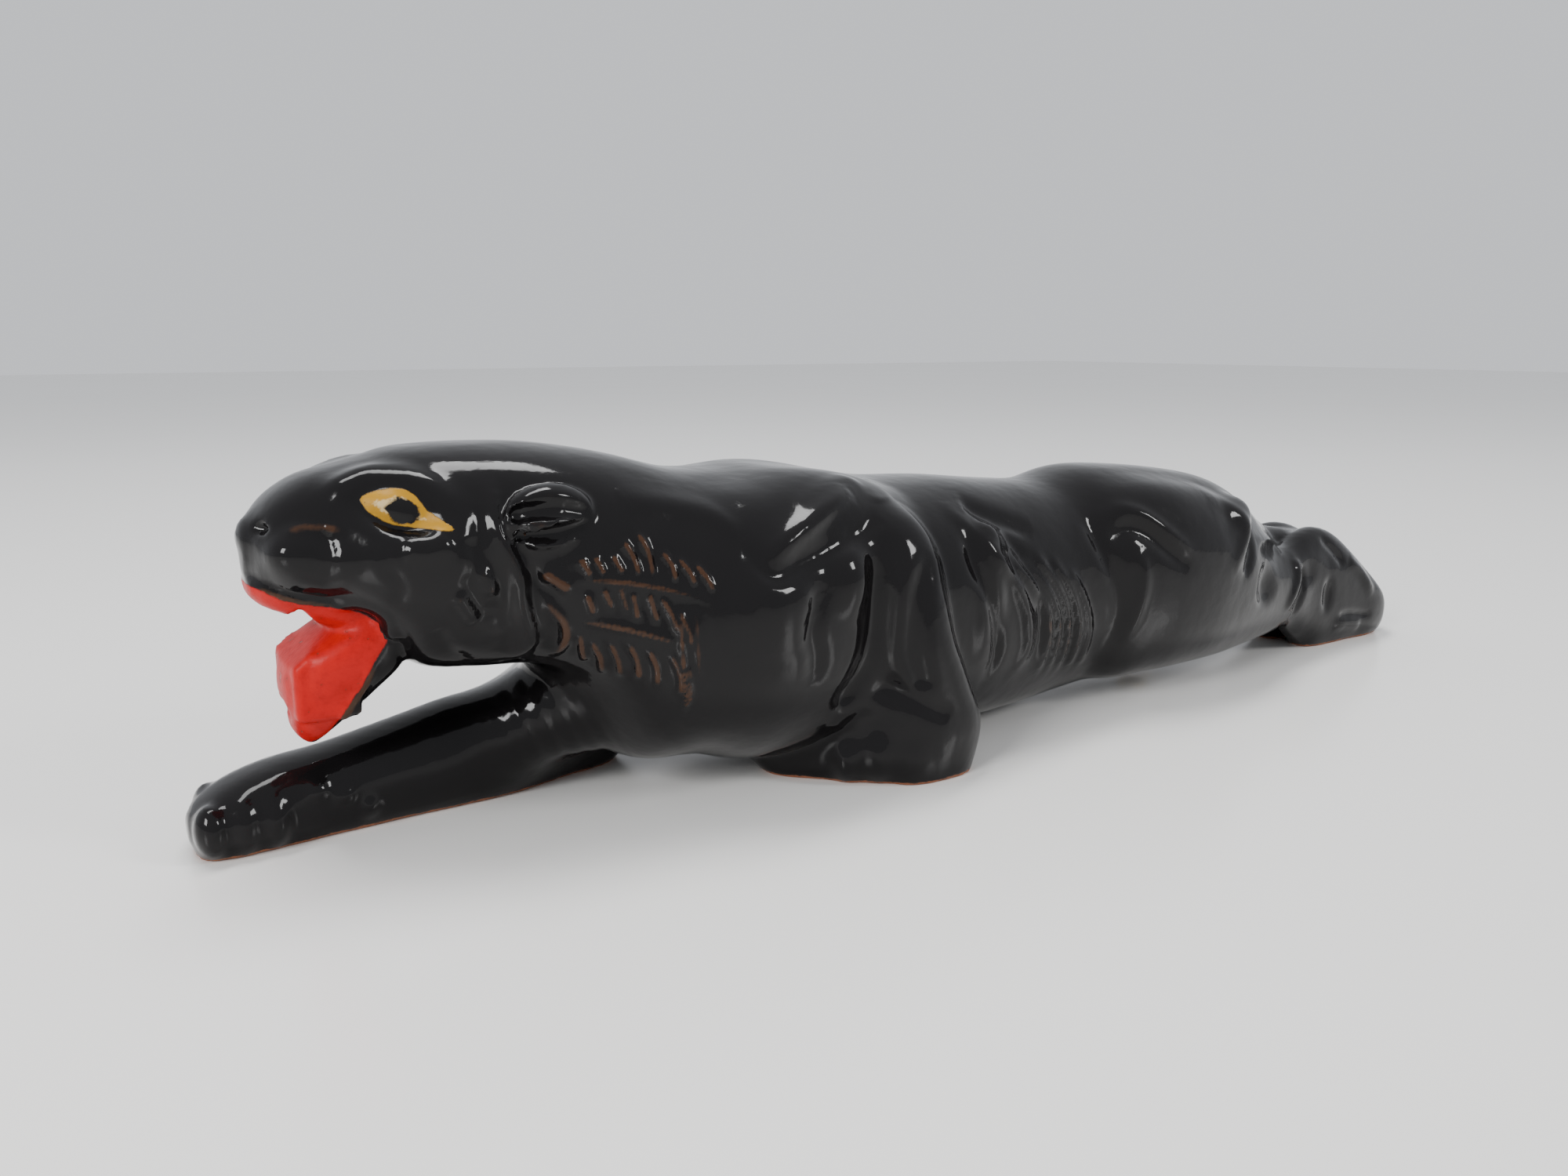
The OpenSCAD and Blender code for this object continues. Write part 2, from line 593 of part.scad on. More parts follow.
module cord_grommet() {
    long = wall_thickness + 2 * lip_thick;
    mid = cord_hole_diameter / 2;
    color("#1c1b1a") along_inlet(inlet_in - lip_thick) rotate_extrude() polygon([
        [mid, 0.5], [mid + 0.5, 0], [grommet_lip - 0.5, 0], [grommet_lip, 0.5],
        [grommet_lip, lip_thick],
        [grommet_neck, lip_thick], [grommet_neck, long - lip_thick], [grommet_lip, long - lip_thick],
        [grommet_lip, long - 0.5], [grommet_lip - 0.5, long], [mid + 0.5, long], [mid, long - 0.5]]);
}

// Leads: a round skin follows a row of points, with a lug under the screw at each screwed end.
function wire_row(points, reach) = [for (p = points) [p[0], p[1], p[2], reach, reach, reach, 2]];
filament_reach = 0.28;
socket_screw_y = flat_reach + ring_sheet / 2;
switch_screw_y = switch_back - ring_sheet / 2;
ring_reach = 3.3;
lug_reach = 7;
lug_width = 2;
lead_lift = lead_reach + 0.2;
lead_end = screw_head_reach + 0.4;

module lug(turn) {
    rotate(turn) translate([0, 0, -ring_sheet / 2]) {
        tube(ring_sheet, ring_reach, screw_reach + 0.05);
        translate([ring_reach - 0.6, -lug_width / 2, 0])
            cube([lug_reach - ring_reach + 0.6, lug_width, ring_sheet]);
    }
}

module lead_line() {
    end = [switch_x + terminal_offset, switch_back - lead_lift, switch_z];
    color("#2c2a27") {
        skin(wire_row([
            [nut_mouth_x + 5, -nut_side, nut_z], [nut_mouth_x - 2, -nut_side - 0.6, nut_z],
            [fixing_x - 2, -nut_side - 7.4, nut_z - 1], [gx(50), -16 * kx, 22.4],
            [gx(14), -15.8 * kx, 21.4], [gx(-30), -17 * kx, 23], [gx(-52), -13 * kx, 26],
            [end[0] + 18, 0, switch_z - 9],
            [end[0] + 13, end[1] - 4.6, switch_z - 3], [end[0] + 9, end[1] - 0.6, switch_z - 0.3],
            [end[0] + 6.5, end[1], switch_z], [end[0] + lead_end, end[1], switch_z]], lead_reach),
            46, 10, [0, 1, 0.3], undef);
        translate([end[0], switch_screw_y, switch_z]) rotate([90, 0, 0]) lug(0);
    }
}

module lead_switched() {
    end = [riser_x - screw_along, -flat_reach - lead_lift, bulb_axis];
    start = [switch_x - terminal_offset, switch_back - lead_lift, switch_z];
    color("#b9b2a2") {
        skin(wire_row([
            [start[0], start[1], start[2] - lead_end], [start[0], start[1], start[2] - 6.5],
            [start[0] + 1, start[1] - 1, start[2] - 10], [start[0] + 6, start[1] - 6, start[2] - 14.5],
            [switch_x + 12, start[1] - 13, 24.6], [gx(-54), -6 * kx, 23], [gx(-30), -12 * kx, 26],
            [gx(14), -14.4 * kx, 28.5], [end[0] - 16, end[1] - 2.4, 30], [end[0] - 6, end[1] - 1.6, 30],
            [end[0] - 1, end[1] - 0.4, end[2] - 8.5],
            [end[0], end[1], end[2] - 6], [end[0], end[1], end[2] - lead_end]], lead_reach),
            48, 10, [0, 1, 0.3], undef);
        translate([end[0], -socket_screw_y, bulb_axis]) rotate([90, 0, 0]) lug(-90);
        translate([start[0], switch_screw_y, switch_z]) rotate([90, 0, 0]) lug(-90);
    }
}

module lead_neutral() {
    end = [riser_x - screw_along, flat_reach + lead_lift, bulb_axis];
    color("#cfc8b6") {
        skin(wire_row([
            [nut_mouth_x + 5, nut_side, nut_z], [nut_mouth_x - 2, nut_side + 0.6, nut_z + 0.4],
            [fixing_x + 2, nut_side + 4.4, nut_z + 3.4],
            [end[0] + 11, end[1] + 0.8, end[2] - 3], [end[0] + 6.5, end[1], end[2]],
            [end[0] + lead_end, end[1], end[2]]], lead_reach), 26, 10, [0, 1, 0.3], undef);
        translate([end[0], socket_screw_y, bulb_axis]) rotate([-90, 0, 0]) lug(0);
    }
}

module wire_nuts() {
    color("#b3271e") for (side = [-1, 1])
        translate([nut_mouth_x, side * nut_side, nut_z]) rotate([0, 90, 0])
        rotate_extrude() polygon([
            [lead_reach + 0.15, 0], [5.2, 0], [5.4, 1], [5.2, 4], [4.4, 5], [3, nut_length - 1.5],
            [2, nut_length], [0, nut_length], [0, 9], [lead_reach + 0.15, 7]]);
}

translate([0, side_shift, 0]) {
    panther_casting();
    socket_bracket();
    mounting_nipple();
    nipple_nuts();
    steel_washers();
    rubber_washers();
    socket_body();
    socket_shell();
    socket_contact();
    socket_rivets();
    socket_screws();
    bulb_glass();
    bulb_cap();
    bulb_insulator();
    bulb_tip();
    bulb_stem();
    bulb_filament();
    switch_body();
    switch_bushing();
    switch_washer();
    switch_lock_washer();
    switch_nut();
    switch_screws();
    switch_shaft();
    switch_knob();
    knob_screw();
    cord_grommet();
    lead_line();
    lead_switched();
    lead_neutral();
    wire_nuts();
}
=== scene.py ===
"""Looks of a panther lamp: a glazed figure sculpted here round fittings that keep their CAD shapes."""

import json
import logging
import math
from collections.abc import Iterable, Sequence
from dataclasses import dataclass, field
from enum import Enum

import bpy
import numpy as np
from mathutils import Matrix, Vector


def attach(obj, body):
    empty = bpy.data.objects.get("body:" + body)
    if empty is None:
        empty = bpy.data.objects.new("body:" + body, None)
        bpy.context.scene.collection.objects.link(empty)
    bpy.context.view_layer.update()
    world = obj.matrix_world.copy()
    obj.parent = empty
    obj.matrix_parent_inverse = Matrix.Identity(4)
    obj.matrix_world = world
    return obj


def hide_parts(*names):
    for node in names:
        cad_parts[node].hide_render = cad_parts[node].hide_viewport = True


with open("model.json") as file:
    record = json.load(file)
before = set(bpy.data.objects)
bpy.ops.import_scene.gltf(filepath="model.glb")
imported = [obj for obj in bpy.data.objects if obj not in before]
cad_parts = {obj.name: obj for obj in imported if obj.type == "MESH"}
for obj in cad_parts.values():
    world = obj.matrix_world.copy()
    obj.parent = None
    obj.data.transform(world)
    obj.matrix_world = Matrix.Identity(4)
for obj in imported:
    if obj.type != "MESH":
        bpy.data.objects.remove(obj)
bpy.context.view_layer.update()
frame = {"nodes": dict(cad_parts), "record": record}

log = logging.getLogger("panther")
MM = 0.001
Point = tuple[float, float, float]
Stations = tuple[tuple[float, ...], ...]


class Way(Enum):
    """The direction that a form is drawn along."""

    LENGTH = 0
    HEIGHT = 2


class Side(Enum):
    """Which flanks a worked feature is on."""

    NEAR = (1,)
    FAR = (-1,)
    BOTH = (1, -1)


def smooth_through(rows: np.ndarray, per_span: int) -> np.ndarray:
    """Reads a smooth curve through rows.

    Args:
        rows: One row of values per station.
        per_span: How many samples stand in for each span.

    Returns:
        The sampled rows, the last station included.
    """
    padded = np.vstack([rows[:1], rows, rows[-1:]])
    t = np.linspace(0, 1, per_span, endpoint=False)[:, None]
    spans = []
    for a, b, c, d in zip(padded, padded[1:], padded[2:], padded[3:], strict=False):
        spans.append(
            0.5 * (2 * b + (c - a) * t + (2 * a - 5 * b + 4 * c - d) * t**2 + (3 * b - a - 3 * c + d) * t**3)
        )
    return np.vstack([*spans, rows[-1:]])


@dataclass(frozen=True)
class Loft:
    """A closed form through stations: x, y, z, half width, reach up, reach down, squareness."""

    stations: Stations
    way: Way = Way.LENGTH
    flip: bool = False
    shift: float = 0.0
    skin: float = 0.0

    def samples(self) -> np.ndarray:
        """Gives the smoothly read stations in rising order."""
        rows = smooth_through(np.array(self.stations, float), 12)
        rows[:, 0] += self.shift
        rows[:, 3:6] -= self.skin
        return rows[np.argsort(rows[:, self.way.value])]

    def corners(self) -> tuple[np.ndarray, np.ndarray]:
        """Gives the lowest and the highest corner.

        Returns:
            The two corners, in millimetres.
        """
        rows = self.samples()
        high = rows[:, 4] if self.way is Way.LENGTH else rows[:, 3]
        reach = np.stack([rows[:, 4], rows[:, 3], high], 1).clip(0)
        low_reach = np.stack([rows[:, 5], rows[:, 3], rows[:, 5]], 1).clip(0)
        low, top = (rows[:, :3] - low_reach).min(0), (rows[:, :3] + reach).max(0)
        if self.flip:
            low[1], top[1] = -top[1], -low[1]
        return low, top

    def depth(self, x: np.ndarray, y: np.ndarray, z: np.ndarray) -> np.ndarray:
        """Measures how far points are outside the form.

        Args:
            x: Lengthwise coordinates.
            y: Sideways coordinates.
            z: Heights.

        Returns:
            Distances, negative inside.
        """
        rows = self.samples()
        y = -y if self.flip else y
        along, rise, rise_column = (x, z, 2) if self.way is Way.LENGTH else (z, x, 0)
        ruler = rows[:, self.way.value]

        def read(column: int) -> np.ndarray:
            """Reads one column of the stations at every step along."""
            return np.interp(along.ravel(), ruler, rows[:, column]).reshape(along.shape).astype(np.float32)

        a, b = y - read(1), rise - read(rise_column)
        wide, up, down, square = read(3).clip(0.3), read(4).clip(0.3), read(5).clip(0.3), read(6)
        reach = np.where(b > 0, up, down)
        share = (np.abs(a / wide) ** square + np.abs(b / reach) ** square) ** (1 / square)
        radius = np.hypot(a, b)
        rim = np.where(share < 0.05, np.minimum(wide, reach), radius / share.clip(0.05))
        out = radius - rim
        past = np.maximum(ruler[0] - along, along - ruler[-1])
        return np.where(past > 0, np.hypot(out.clip(0), past), out)


@dataclass(frozen=True)
class Ball:
    """An egg-shaped lump, turned about the upright axis and then tipped nose-up."""

    at: Point
    reach: Point
    turn: float = 0.0
    tip: float = 0.0
    flip: bool = False

    def corners(self) -> tuple[np.ndarray, np.ndarray]:
        """Gives the lowest and the highest corner."""
        at = np.array(self.at) * (1, -1 if self.flip else 1, 1)
        return at - max(self.reach), at + max(self.reach)

    def depth(self, x: np.ndarray, y: np.ndarray, z: np.ndarray) -> np.ndarray:
        """Measures how far points are outside the lump.

        Args:
            x: Distances along the animal, in millimetres.
            y: Distances to the side.
            z: Heights.

        Returns:
            The distances, negative inside.
        """
        x, y, z = x - self.at[0], (-y if self.flip else y) - self.at[1], z - self.at[2]
        c, s = math.cos(math.radians(self.turn)), math.sin(math.radians(self.turn))
        x, y = c * x + s * y, c * y - s * x
        c, s = math.cos(math.radians(self.tip)), math.sin(math.radians(self.tip))
        x, z = c * x + s * z, c * z - s * x
        a, b, h = self.reach
        near = np.sqrt((x / a) ** 2 + (y / b) ** 2 + (z / h) ** 2)
        slope = np.sqrt((x / a**2) ** 2 + (y / b**2) ** 2 + (z / h**2) ** 2)
        return near * (near - 1) / slope.clip(1e-4)


@dataclass(frozen=True)
class Roll:
    """A roll of clay through points, each with its own radius: x, y, z, radius."""

    path: Stations
    flip: bool = False

    def corners(self) -> tuple[np.ndarray, np.ndarray]:
        """Gives the lowest and the highest corner."""
        rows = np.array(self.path, float) * (1, -1 if self.flip else 1, 1, 1)
        return (rows[:, :3] - rows[:, 3:]).min(0), (rows[:, :3] + rows[:, 3:]).max(0)

    def depth(self, x: np.ndarray, y: np.ndarray, z: np.ndarray) -> np.ndarray:
        """Measures how far points are outside the roll.

        Args:
            x: Distances along the animal, in millimetres.
            y: Distances to the side.
            z: Heights.

        Returns:
            The distances, negative inside.
        """
        rows = smooth_through(np.array(self.path, float), 4)
        y = -y if self.flip else y
        nearest = np.float32(99)
        for p, q in zip(rows, rows[1:], strict=False):
            run = q - p
            length = max(float(run[:3] @ run[:3]), 1e-6)
            t = ((x - p[0]) * run[0] + (y - p[1]) * run[1] + (z - p[2]) * run[2]) / length
            t = t.clip(0, 1)
            gap = np.sqrt(
                (x - p[0] - t * run[0]) ** 2 + (y - p[1] - t * run[1]) ** 2 + (z - p[2] - t * run[2]) ** 2
            )
            nearest = np.minimum(nearest, gap - p[3] - t * run[3])
        return nearest


@dataclass(frozen=True)
class Slab:
    """A block with slightly rounded edges, tipped nose-up about its middle."""

    at: Point
    half: Point
    tip: float = 0.0
    soft: float = 0.8

    def corners(self) -> tuple[np.ndarray, np.ndarray]:
        """Gives the lowest and the highest corner."""
        reach = math.hypot(*self.half)
        return np.array(self.at) - reach, np.array(self.at) + reach

    def depth(self, x: np.ndarray, y: np.ndarray, z: np.ndarray) -> np.ndarray:
        """Measures how far points are outside the block."""
        x, y, z = x - self.at[0], y - self.at[1], z - self.at[2]
        c, s = math.cos(math.radians(self.tip)), math.sin(math.radians(self.tip))
        x, z = c * x + s * z, c * z - s * x
        a, b, h = (np.abs(v) - half + self.soft for v, half in zip((x, y, z), self.half, strict=True))
        inner = np.minimum(np.maximum(np.maximum(a, b), h), 0)
        return np.sqrt(a.clip(0) ** 2 + b.clip(0) ** 2 + h.clip(0) ** 2) + inner - self.soft


@dataclass(frozen=True)
class Drill:
    """A round or long hole along Y or Z, between two ends."""

    at: tuple[float, float]
    ends: tuple[float, float]
    radius: float
    axis: int
    half_length: float = 0.0

    def corners(self) -> tuple[np.ndarray, np.ndarray]:
        """Gives the lowest and the highest corner."""
        reach = (self.radius + self.half_length, self.radius)
        low = [self.at[n] - reach[n] for n in range(2)]
        top = [self.at[n] + reach[n] for n in range(2)]
        low.insert(self.axis, self.ends[0])
        top.insert(self.axis, self.ends[1])
        return np.array(low), np.array(top)

    def depth(self, x: np.ndarray, y: np.ndarray, z: np.ndarray) -> np.ndarray:
        """Measures how far points are outside the hole."""
        across, along = (z, y) if self.axis == 1 else (y, z)
        side = (np.abs(x - self.at[0]) - self.half_length).clip(0)
        out = np.hypot(side, across - self.at[1]) - self.radius
        end = np.maximum(self.ends[0] - along, along - self.ends[1])
        return np.maximum(out, end)


class Clay:
    """A block of clay on a grid of points, worked by joining and carving forms."""

    def __init__(self, lines: Sequence[np.ndarray]) -> None:
        """Starts with an empty block on the given grid lines."""
        self.lines = [np.asarray(a, np.float32) for a in lines]
        self.body = np.full([len(a) for a in self.lines], 60, np.float32)

    def _window(self, form: "Form", margin: float) -> tuple[tuple[slice, ...], list[np.ndarray]]:
        """Finds the part of the grid that a form can change."""
        low, top = form.corners()
        cut = tuple(
            slice(max(int(np.searchsorted(a, lo - margin)) - 1, 0), int(np.searchsorted(a, hi + margin)) + 1)
            for a, lo, hi in zip(self.lines, low, top, strict=True)
        )
        shapes = ((-1, 1, 1), (1, -1, 1), (1, 1, -1))
        return cut, [a[s].reshape(shape) for a, s, shape in zip(self.lines, cut, shapes, strict=True)]

    def join(self, form: "Form", blend: float) -> None:
        """Adds a form.

        Args:
            form: What is added.
            blend: How widely the two surfaces flow together.
        """
        cut, at = self._window(form, blend + 2)
        self.body[cut] = self._soft(self.body[cut], form.depth(*at), blend)

    def carve(self, form: "Form", blend: float) -> None:
        """Takes a form away.

        Args:
            form: What is taken away.
            blend: How far the new edges are rounded.
        """
        cut, at = self._window(form, blend + 2)
        self.body[cut] = -self._soft(-self.body[cut], form.depth(*at), blend)

    @staticmethod
    def _soft(a: np.ndarray, b: np.ndarray, blend: float) -> np.ndarray:
        """Takes the smaller of two distances, rounded where they are close."""
        mix = (0.5 + 0.5 * (b - a) / blend).clip(0, 1)
        return (b + (a - b) * mix - blend * mix * (1 - mix)).astype(np.float32)

    def shell(self) -> tuple[np.ndarray, np.ndarray]:
        """Draws the surface between clay and air.

        Returns:
            The corner points, and the four corners of each face.
        """
        body = self.body
        solid = body < 0
        cells = np.zeros([n - 1 for n in body.shape], np.uint8)
        corners = [(i, j, k) for i in (0, 1) for j in (0, 1) for k in (0, 1)]
        cut = [tuple(slice(o, n - 1 + o) for o, n in zip(c, body.shape, strict=True)) for c in corners]
        for c in cut:
            cells += solid[c]
        active = np.argwhere((cells > 0) & (cells < 8))
        value = {c: body[tuple((active + c).T)] for c in corners}
        total, count = np.zeros((len(active), 3)), np.zeros(len(active))
        for axis in range(3):
            for c in (c for c in corners if c[axis] == 0):
                d = tuple(v + (n == axis) for n, v in enumerate(c))
                a, b = value[c], value[d]
                crosses = (a < 0) != (b < 0)
                share = np.where(crosses, a / np.where(crosses, a - b, 1), 0)
                for n in range(3):
                    line, low = self.lines[n], active[:, n] + c[n]
                    place = line[low]
                    if n == axis:
                        place = place + share * (line[np.minimum(low + 1, len(line) - 1)] - place)
                    total[:, n] += np.where(crosses, place, 0)
                count += crosses
        points = total / count[:, None]
        index = np.full(cells.shape, -1, np.int64)
        index[tuple(active.T)] = np.arange(len(active))
        faces = []
        for axis in range(3):
            one, two = [n for n in range(3) if n != axis]
            low = [slice(1, -1)] * 3
            low[axis] = slice(None, -1)
            high = list(low)
            high[axis] = slice(1, None)
            a, b = solid[tuple(low)], solid[tuple(high)]
            for inside, turned in ((a & ~b, axis == 1), (b & ~a, axis != 1)):
                at = np.argwhere(inside)
                at[:, one] += 1
                at[:, two] += 1
                step_one, step_two = np.eye(3, dtype=int)[one], np.eye(3, dtype=int)[two]
                ring = [at - step_one - step_two, at - step_two, at, at - step_one]
                quad = np.stack([index[tuple(r.T)] for r in ring], 1)
                faces.append(quad[:, ::-1] if turned else quad)
        return points, np.vstack(faces)


Form = Loft | Ball | Roll | Slab | Drill


@dataclass(frozen=True)
class Stroke:
    """A line or a single dab worked into a flank: raised if height is positive, pressed in if not."""

    height: float
    width: float
    path: tuple[Point, ...]
    side: Side = Side.BOTH
    depth: float = 9.0
    taper: float = 0.3

    def offsets(self, points: np.ndarray, normals: np.ndarray) -> tuple[np.ndarray, np.ndarray]:
        """Works out how far this stroke moves the surface.

        Args:
            points: The surface's points.
            normals: The surface's outward directions.

        Returns:
            The numbers of the points that it reaches, and how far each moves outwards.
        """
        found, moved = [], []
        for sign in self.side.value:
            rows = np.array(self.path, float) * (1, sign, 1)
            line = smooth_through(rows, 12) if len(rows) > 1 else rows
            reach = np.array([2.2 * self.width, self.depth, 2.2 * self.width])
            close = np.all((points > line.min(0) - reach) & (points < line.max(0) + reach), axis=1)
            near = np.flatnonzero(close & (normals[:, 1] * sign < 0.25))
            best, share = np.full(len(near), 1e9), np.zeros(len(near))
            for n, spot in enumerate(line):
                gap = ((points[near] - spot) ** 2 * (1, 0.03, 1)).sum(1)
                closer = gap < best
                best[closer], share[closer] = gap[closer], n / max(len(line) - 1, 1)
            fade = np.ones(len(near))
            if len(line) > 1 and self.taper:
                ends = (np.minimum(share, 1 - share) / self.taper).clip(0, 1)
                fade = 0.15 + 0.85 * np.sin(ends * math.pi / 2)
            facing = (0.25 - normals[near, 1] * sign).clip(0, 0.5) * 2
            found.append(near)
            moved.append(self.height * fade * facing * np.exp(-best / self.width**2))
        return np.concatenate(found), np.concatenate(moved)


@dataclass(frozen=True)
class Patch:
    """A painted area on the flank, outlined by length and height."""

    outline: tuple[tuple[float, float], ...]
    depth: tuple[float, float]

    def inside(self, points: np.ndarray) -> np.ndarray:
        """Measures how far inside the outline each point is.

        Args:
            points: The surface's points.

        Returns:
            The distances, negative outside.
        """
        ring = np.array(self.outline, float)
        ring = smooth_through(np.vstack([ring, ring[:1]]), 6)
        x, z = points[:, 0], points[:, 2]
        best, odd = np.full(len(points), 1e9), np.zeros(len(points), bool)
        for (ax, az), (bx, bz) in zip(ring, ring[1:], strict=False):
            run = max((bx - ax) ** 2 + (bz - az) ** 2, 1e-9)
            t = (((x - ax) * (bx - ax) + (z - az) * (bz - az)) / run).clip(0, 1)
            best = np.minimum(best, np.hypot(x - ax - t * (bx - ax), z - az - t * (bz - az)))
            if az != bz:
                odd ^= ((az > z) != (bz > z)) & (x < (bx - ax) * (z - az) / (bz - az) + ax)
        out = np.where(odd, best, -best)
        deep = np.abs(points[:, 1])
        return np.where((deep >= self.depth[0]) & (deep <= self.depth[1]), out, -20).clip(-20, 20)


@dataclass
class Skin:
    """A sculpted surface: its points, faces and the readings that the finishes use."""

    points: np.ndarray
    faces: np.ndarray
    readings: dict[str, np.ndarray] = field(default_factory=dict)

    def __post_init__(self) -> None:
        """Lists each edge once."""
        f = self.faces
        pairs = np.sort(np.vstack([f[:, [0, 1]], f[:, [1, 2]], f[:, [2, 3]], f[:, [3, 0]]]), axis=1)
        code = np.unique(pairs[:, 0] * len(self.points) + pairs[:, 1])
        self.edges = np.stack([code // len(self.points), code % len(self.points)], 1)
        self.degree = np.bincount(self.edges.ravel(), minlength=len(self.points)).clip(1)

    def around(self, values: np.ndarray) -> np.ndarray:
        """Averages values over each point's neighbours."""
        a, b = self.edges.T
        n = len(self.points)
        columns = values.reshape(n, -1).T
        sums = [np.bincount(a, c[b], n) + np.bincount(b, c[a], n) for c in columns]
        return (np.stack(sums, 1) / self.degree[:, None]).reshape(values.shape)

    def relax(self, rounds: int) -> None:
        """Smooths the grid's grain away without shrinking the form."""
        for _ in range(rounds):
            for pull in (0.5, -0.53):
                self.points = self.points + pull * (self.around(self.points) - self.points)

    def normals(self) -> np.ndarray:
        """Gives each point's outward direction."""
        p = self.points[self.faces]
        face = np.cross(p[:, 2] - p[:, 0], p[:, 3] - p[:, 1])
        count = len(self.points)
        parts = [sum(np.bincount(self.faces[:, c], face[:, n], count) for c in range(4)) for n in range(3)]
        total = np.stack(parts, 1)
        return total / np.linalg.norm(total, axis=1, keepdims=True).clip(1e-9)

    def work(self, strokes: Iterable[Stroke]) -> None:
        """Presses and raises the strokes, all measured on the surface as it is.

        Args:
            strokes: The strokes to work in.
        """
        out, normals = np.zeros(len(self.points)), self.normals()
        ridges = np.zeros(len(self.points))
        for stroke in strokes:
            found, moved = stroke.offsets(self.points, normals)
            np.add.at(out, found, moved)
            if stroke.height > 0 and stroke.width < 1.4:
                np.maximum.at(ridges, found, moved / stroke.height)
        self.points = self.points + normals * out[:, None]
        self.readings["ridges"] = ridges

    def convexity(self) -> np.ndarray:
        """Reads how sharply each point stands out, in tenths of a millimetre."""
        lift = ((self.points - self.around(self.points)) * self.normals()).sum(1)
        for _ in range(2):
            lift = 0.5 * lift + 0.5 * self.around(lift)
        return 10 * lift


class Value:
    """A number in a shader, which Python's own signs can work with."""

    def __init__(self, paint: "Paint", socket: bpy.types.NodeSocket) -> None:
        """Wraps a node's output."""
        self.paint, self.socket = paint, socket

    def _with(self, operation: str, *others: "Value | float") -> "Value":
        """Adds one Math node."""
        return self.paint.math(operation, self, *others)

    def __add__(self, other: "Value | float") -> "Value":
        """Adds."""
        return self._with("ADD", other)

    def __sub__(self, other: "Value | float") -> "Value":
        """Takes away."""
        return self._with("SUBTRACT", other)

    def __rsub__(self, other: float) -> "Value":
        """Takes this from a number."""
        return self.paint.math("SUBTRACT", other, self)

    def __mul__(self, other: "Value | float") -> "Value":
        """Multiplies."""
        return self._with("MULTIPLY", other)

    def __truediv__(self, other: "Value | float") -> "Value":
        """Divides."""
        return self._with("DIVIDE", other)

    def __pow__(self, other: "Value | float") -> "Value":
        """Raises to a power."""
        return self._with("POWER", other)

    __radd__ = __add__
    __rmul__ = __mul__

    def larger(self, other: "Value | float") -> "Value":
        """Takes the larger of two."""
        return self._with("MAXIMUM", other)

    def smaller(self, other: "Value | float") -> "Value":
        """Takes the smaller of two."""
        return self._with("MINIMUM", other)

    def rise(self, low: float, high: float) -> "Value":
        """Goes smoothly from 0 at low to 1 at high.

        Args:
            low: Where it begins to rise.
            high: Where it is full. It may be below low, for a fall.

        Returns:
            The share between them.
        """
        settings = {"interpolation_type": "SMOOTHSTEP", "clamp": True}
        return self.paint.node("MapRange", settings, {0: self, 1: low, 2: high, 3: 0.0, 4: 1.0})


Setting = str | bool | int
Given = Value | float | tuple


class Paint:
    """One material under construction."""

    def __init__(self, name: str) -> None:
        """Starts a material with a plain surface shader."""
        self.material = bpy.data.materials.new(name)
        self.material.use_nodes = True
        self.tree = self.material.node_tree
        self.surface = self.tree.nodes["Principled BSDF"]

    def node(self, kind: str, settings: dict[str, Setting], values: dict, out: int | str = 0) -> Value:
        """Adds any node.

        Args:
            kind: The node's type, after the usual prefix.
            settings: Its own settings, set first.
            values: What goes into its inputs, by name or number.
            out: Which output is wanted.

        Returns:
            That output.
        """
        node = self.tree.nodes.new("ShaderNode" + kind)
        for name, setting in settings.items():
            setattr(node, name, setting)
        for name, value in values.items():
            self._give(node.inputs[name], value)
        return Value(self, node.outputs[out])

    def _give(self, socket: bpy.types.NodeSocket, value: Given) -> None:
        """Links or sets one input."""
        if isinstance(value, Value):
            self.tree.links.new(value.socket, socket)
        else:
            socket.default_value = value

    def math(self, operation: str, *terms: Value | float) -> Value:
        """Adds one Math node."""
        return self.node("Math", {"operation": operation}, dict(enumerate(terms)))

    def mix(self, share: Value | float, a: Given, b: Given) -> Value:
        """Mixes two colours, from a at 0 to b at 1."""
        values = {0: share, 6: self._full(a), 7: self._full(b)}
        return self.node("Mix", {"data_type": "RGBA"}, values, 2)

    @staticmethod
    def _full(colour: Given) -> Given:
        """Adds a colour's fourth number."""
        return (*colour, 1.0) if isinstance(colour, tuple) and len(colour) == 3 else colour

    def place(self) -> Value:
        """Gives the place on the object, in metres."""
        return self.node("TexCoord", {}, {}, "Object")

    def reading(self, name: str) -> Value:
        """Gives one of the surface's own readings."""
        settings = {"attribute_name": name, "attribute_type": "GEOMETRY"}
        return self.node("Attribute", settings, {}, "Fac")

    def noise(self, scale: float, detail: float = 3.0, rough: float = 0.5) -> Value:
        """Gives soft random variation, in features per metre."""
        values = {"Vector": self.place(), "Scale": scale, "Detail": detail, "Roughness": rough}
        return self.node("TexNoise", {}, values, 0)

    def bump(
        self, height: Value, distance: float, strength: float = 1.0, over: Value | None = None
    ) -> Value:
        """Turns a height into a surface direction.

        Args:
            height: Height from 0 to 1.
            distance: Metres that a height of 1 stands for.
            strength: How much of it shows.
            over: A direction that this adds to.

        Returns:
            The new direction.
        """
        values = {"Height": height, "Distance": distance, "Strength": strength}
        return self.node("Bump", {}, values | ({"Normal": over} if over else {}))

    def finish(self, **values: Given) -> bpy.types.Material:
        """Sets the surface shader's inputs, with spaces written as underscores."""
        for name, value in values.items():
            self._give(self.surface.inputs[name.replace("_", " ")], self._full(value))
        return self.material


class Finish:
    """What every finish can do."""

    def material(self, name: str) -> bpy.types.Material:
        """Makes the material.

        Args:
            name: The material's name.

        Returns:
            The material.
        """
        raise NotImplementedError


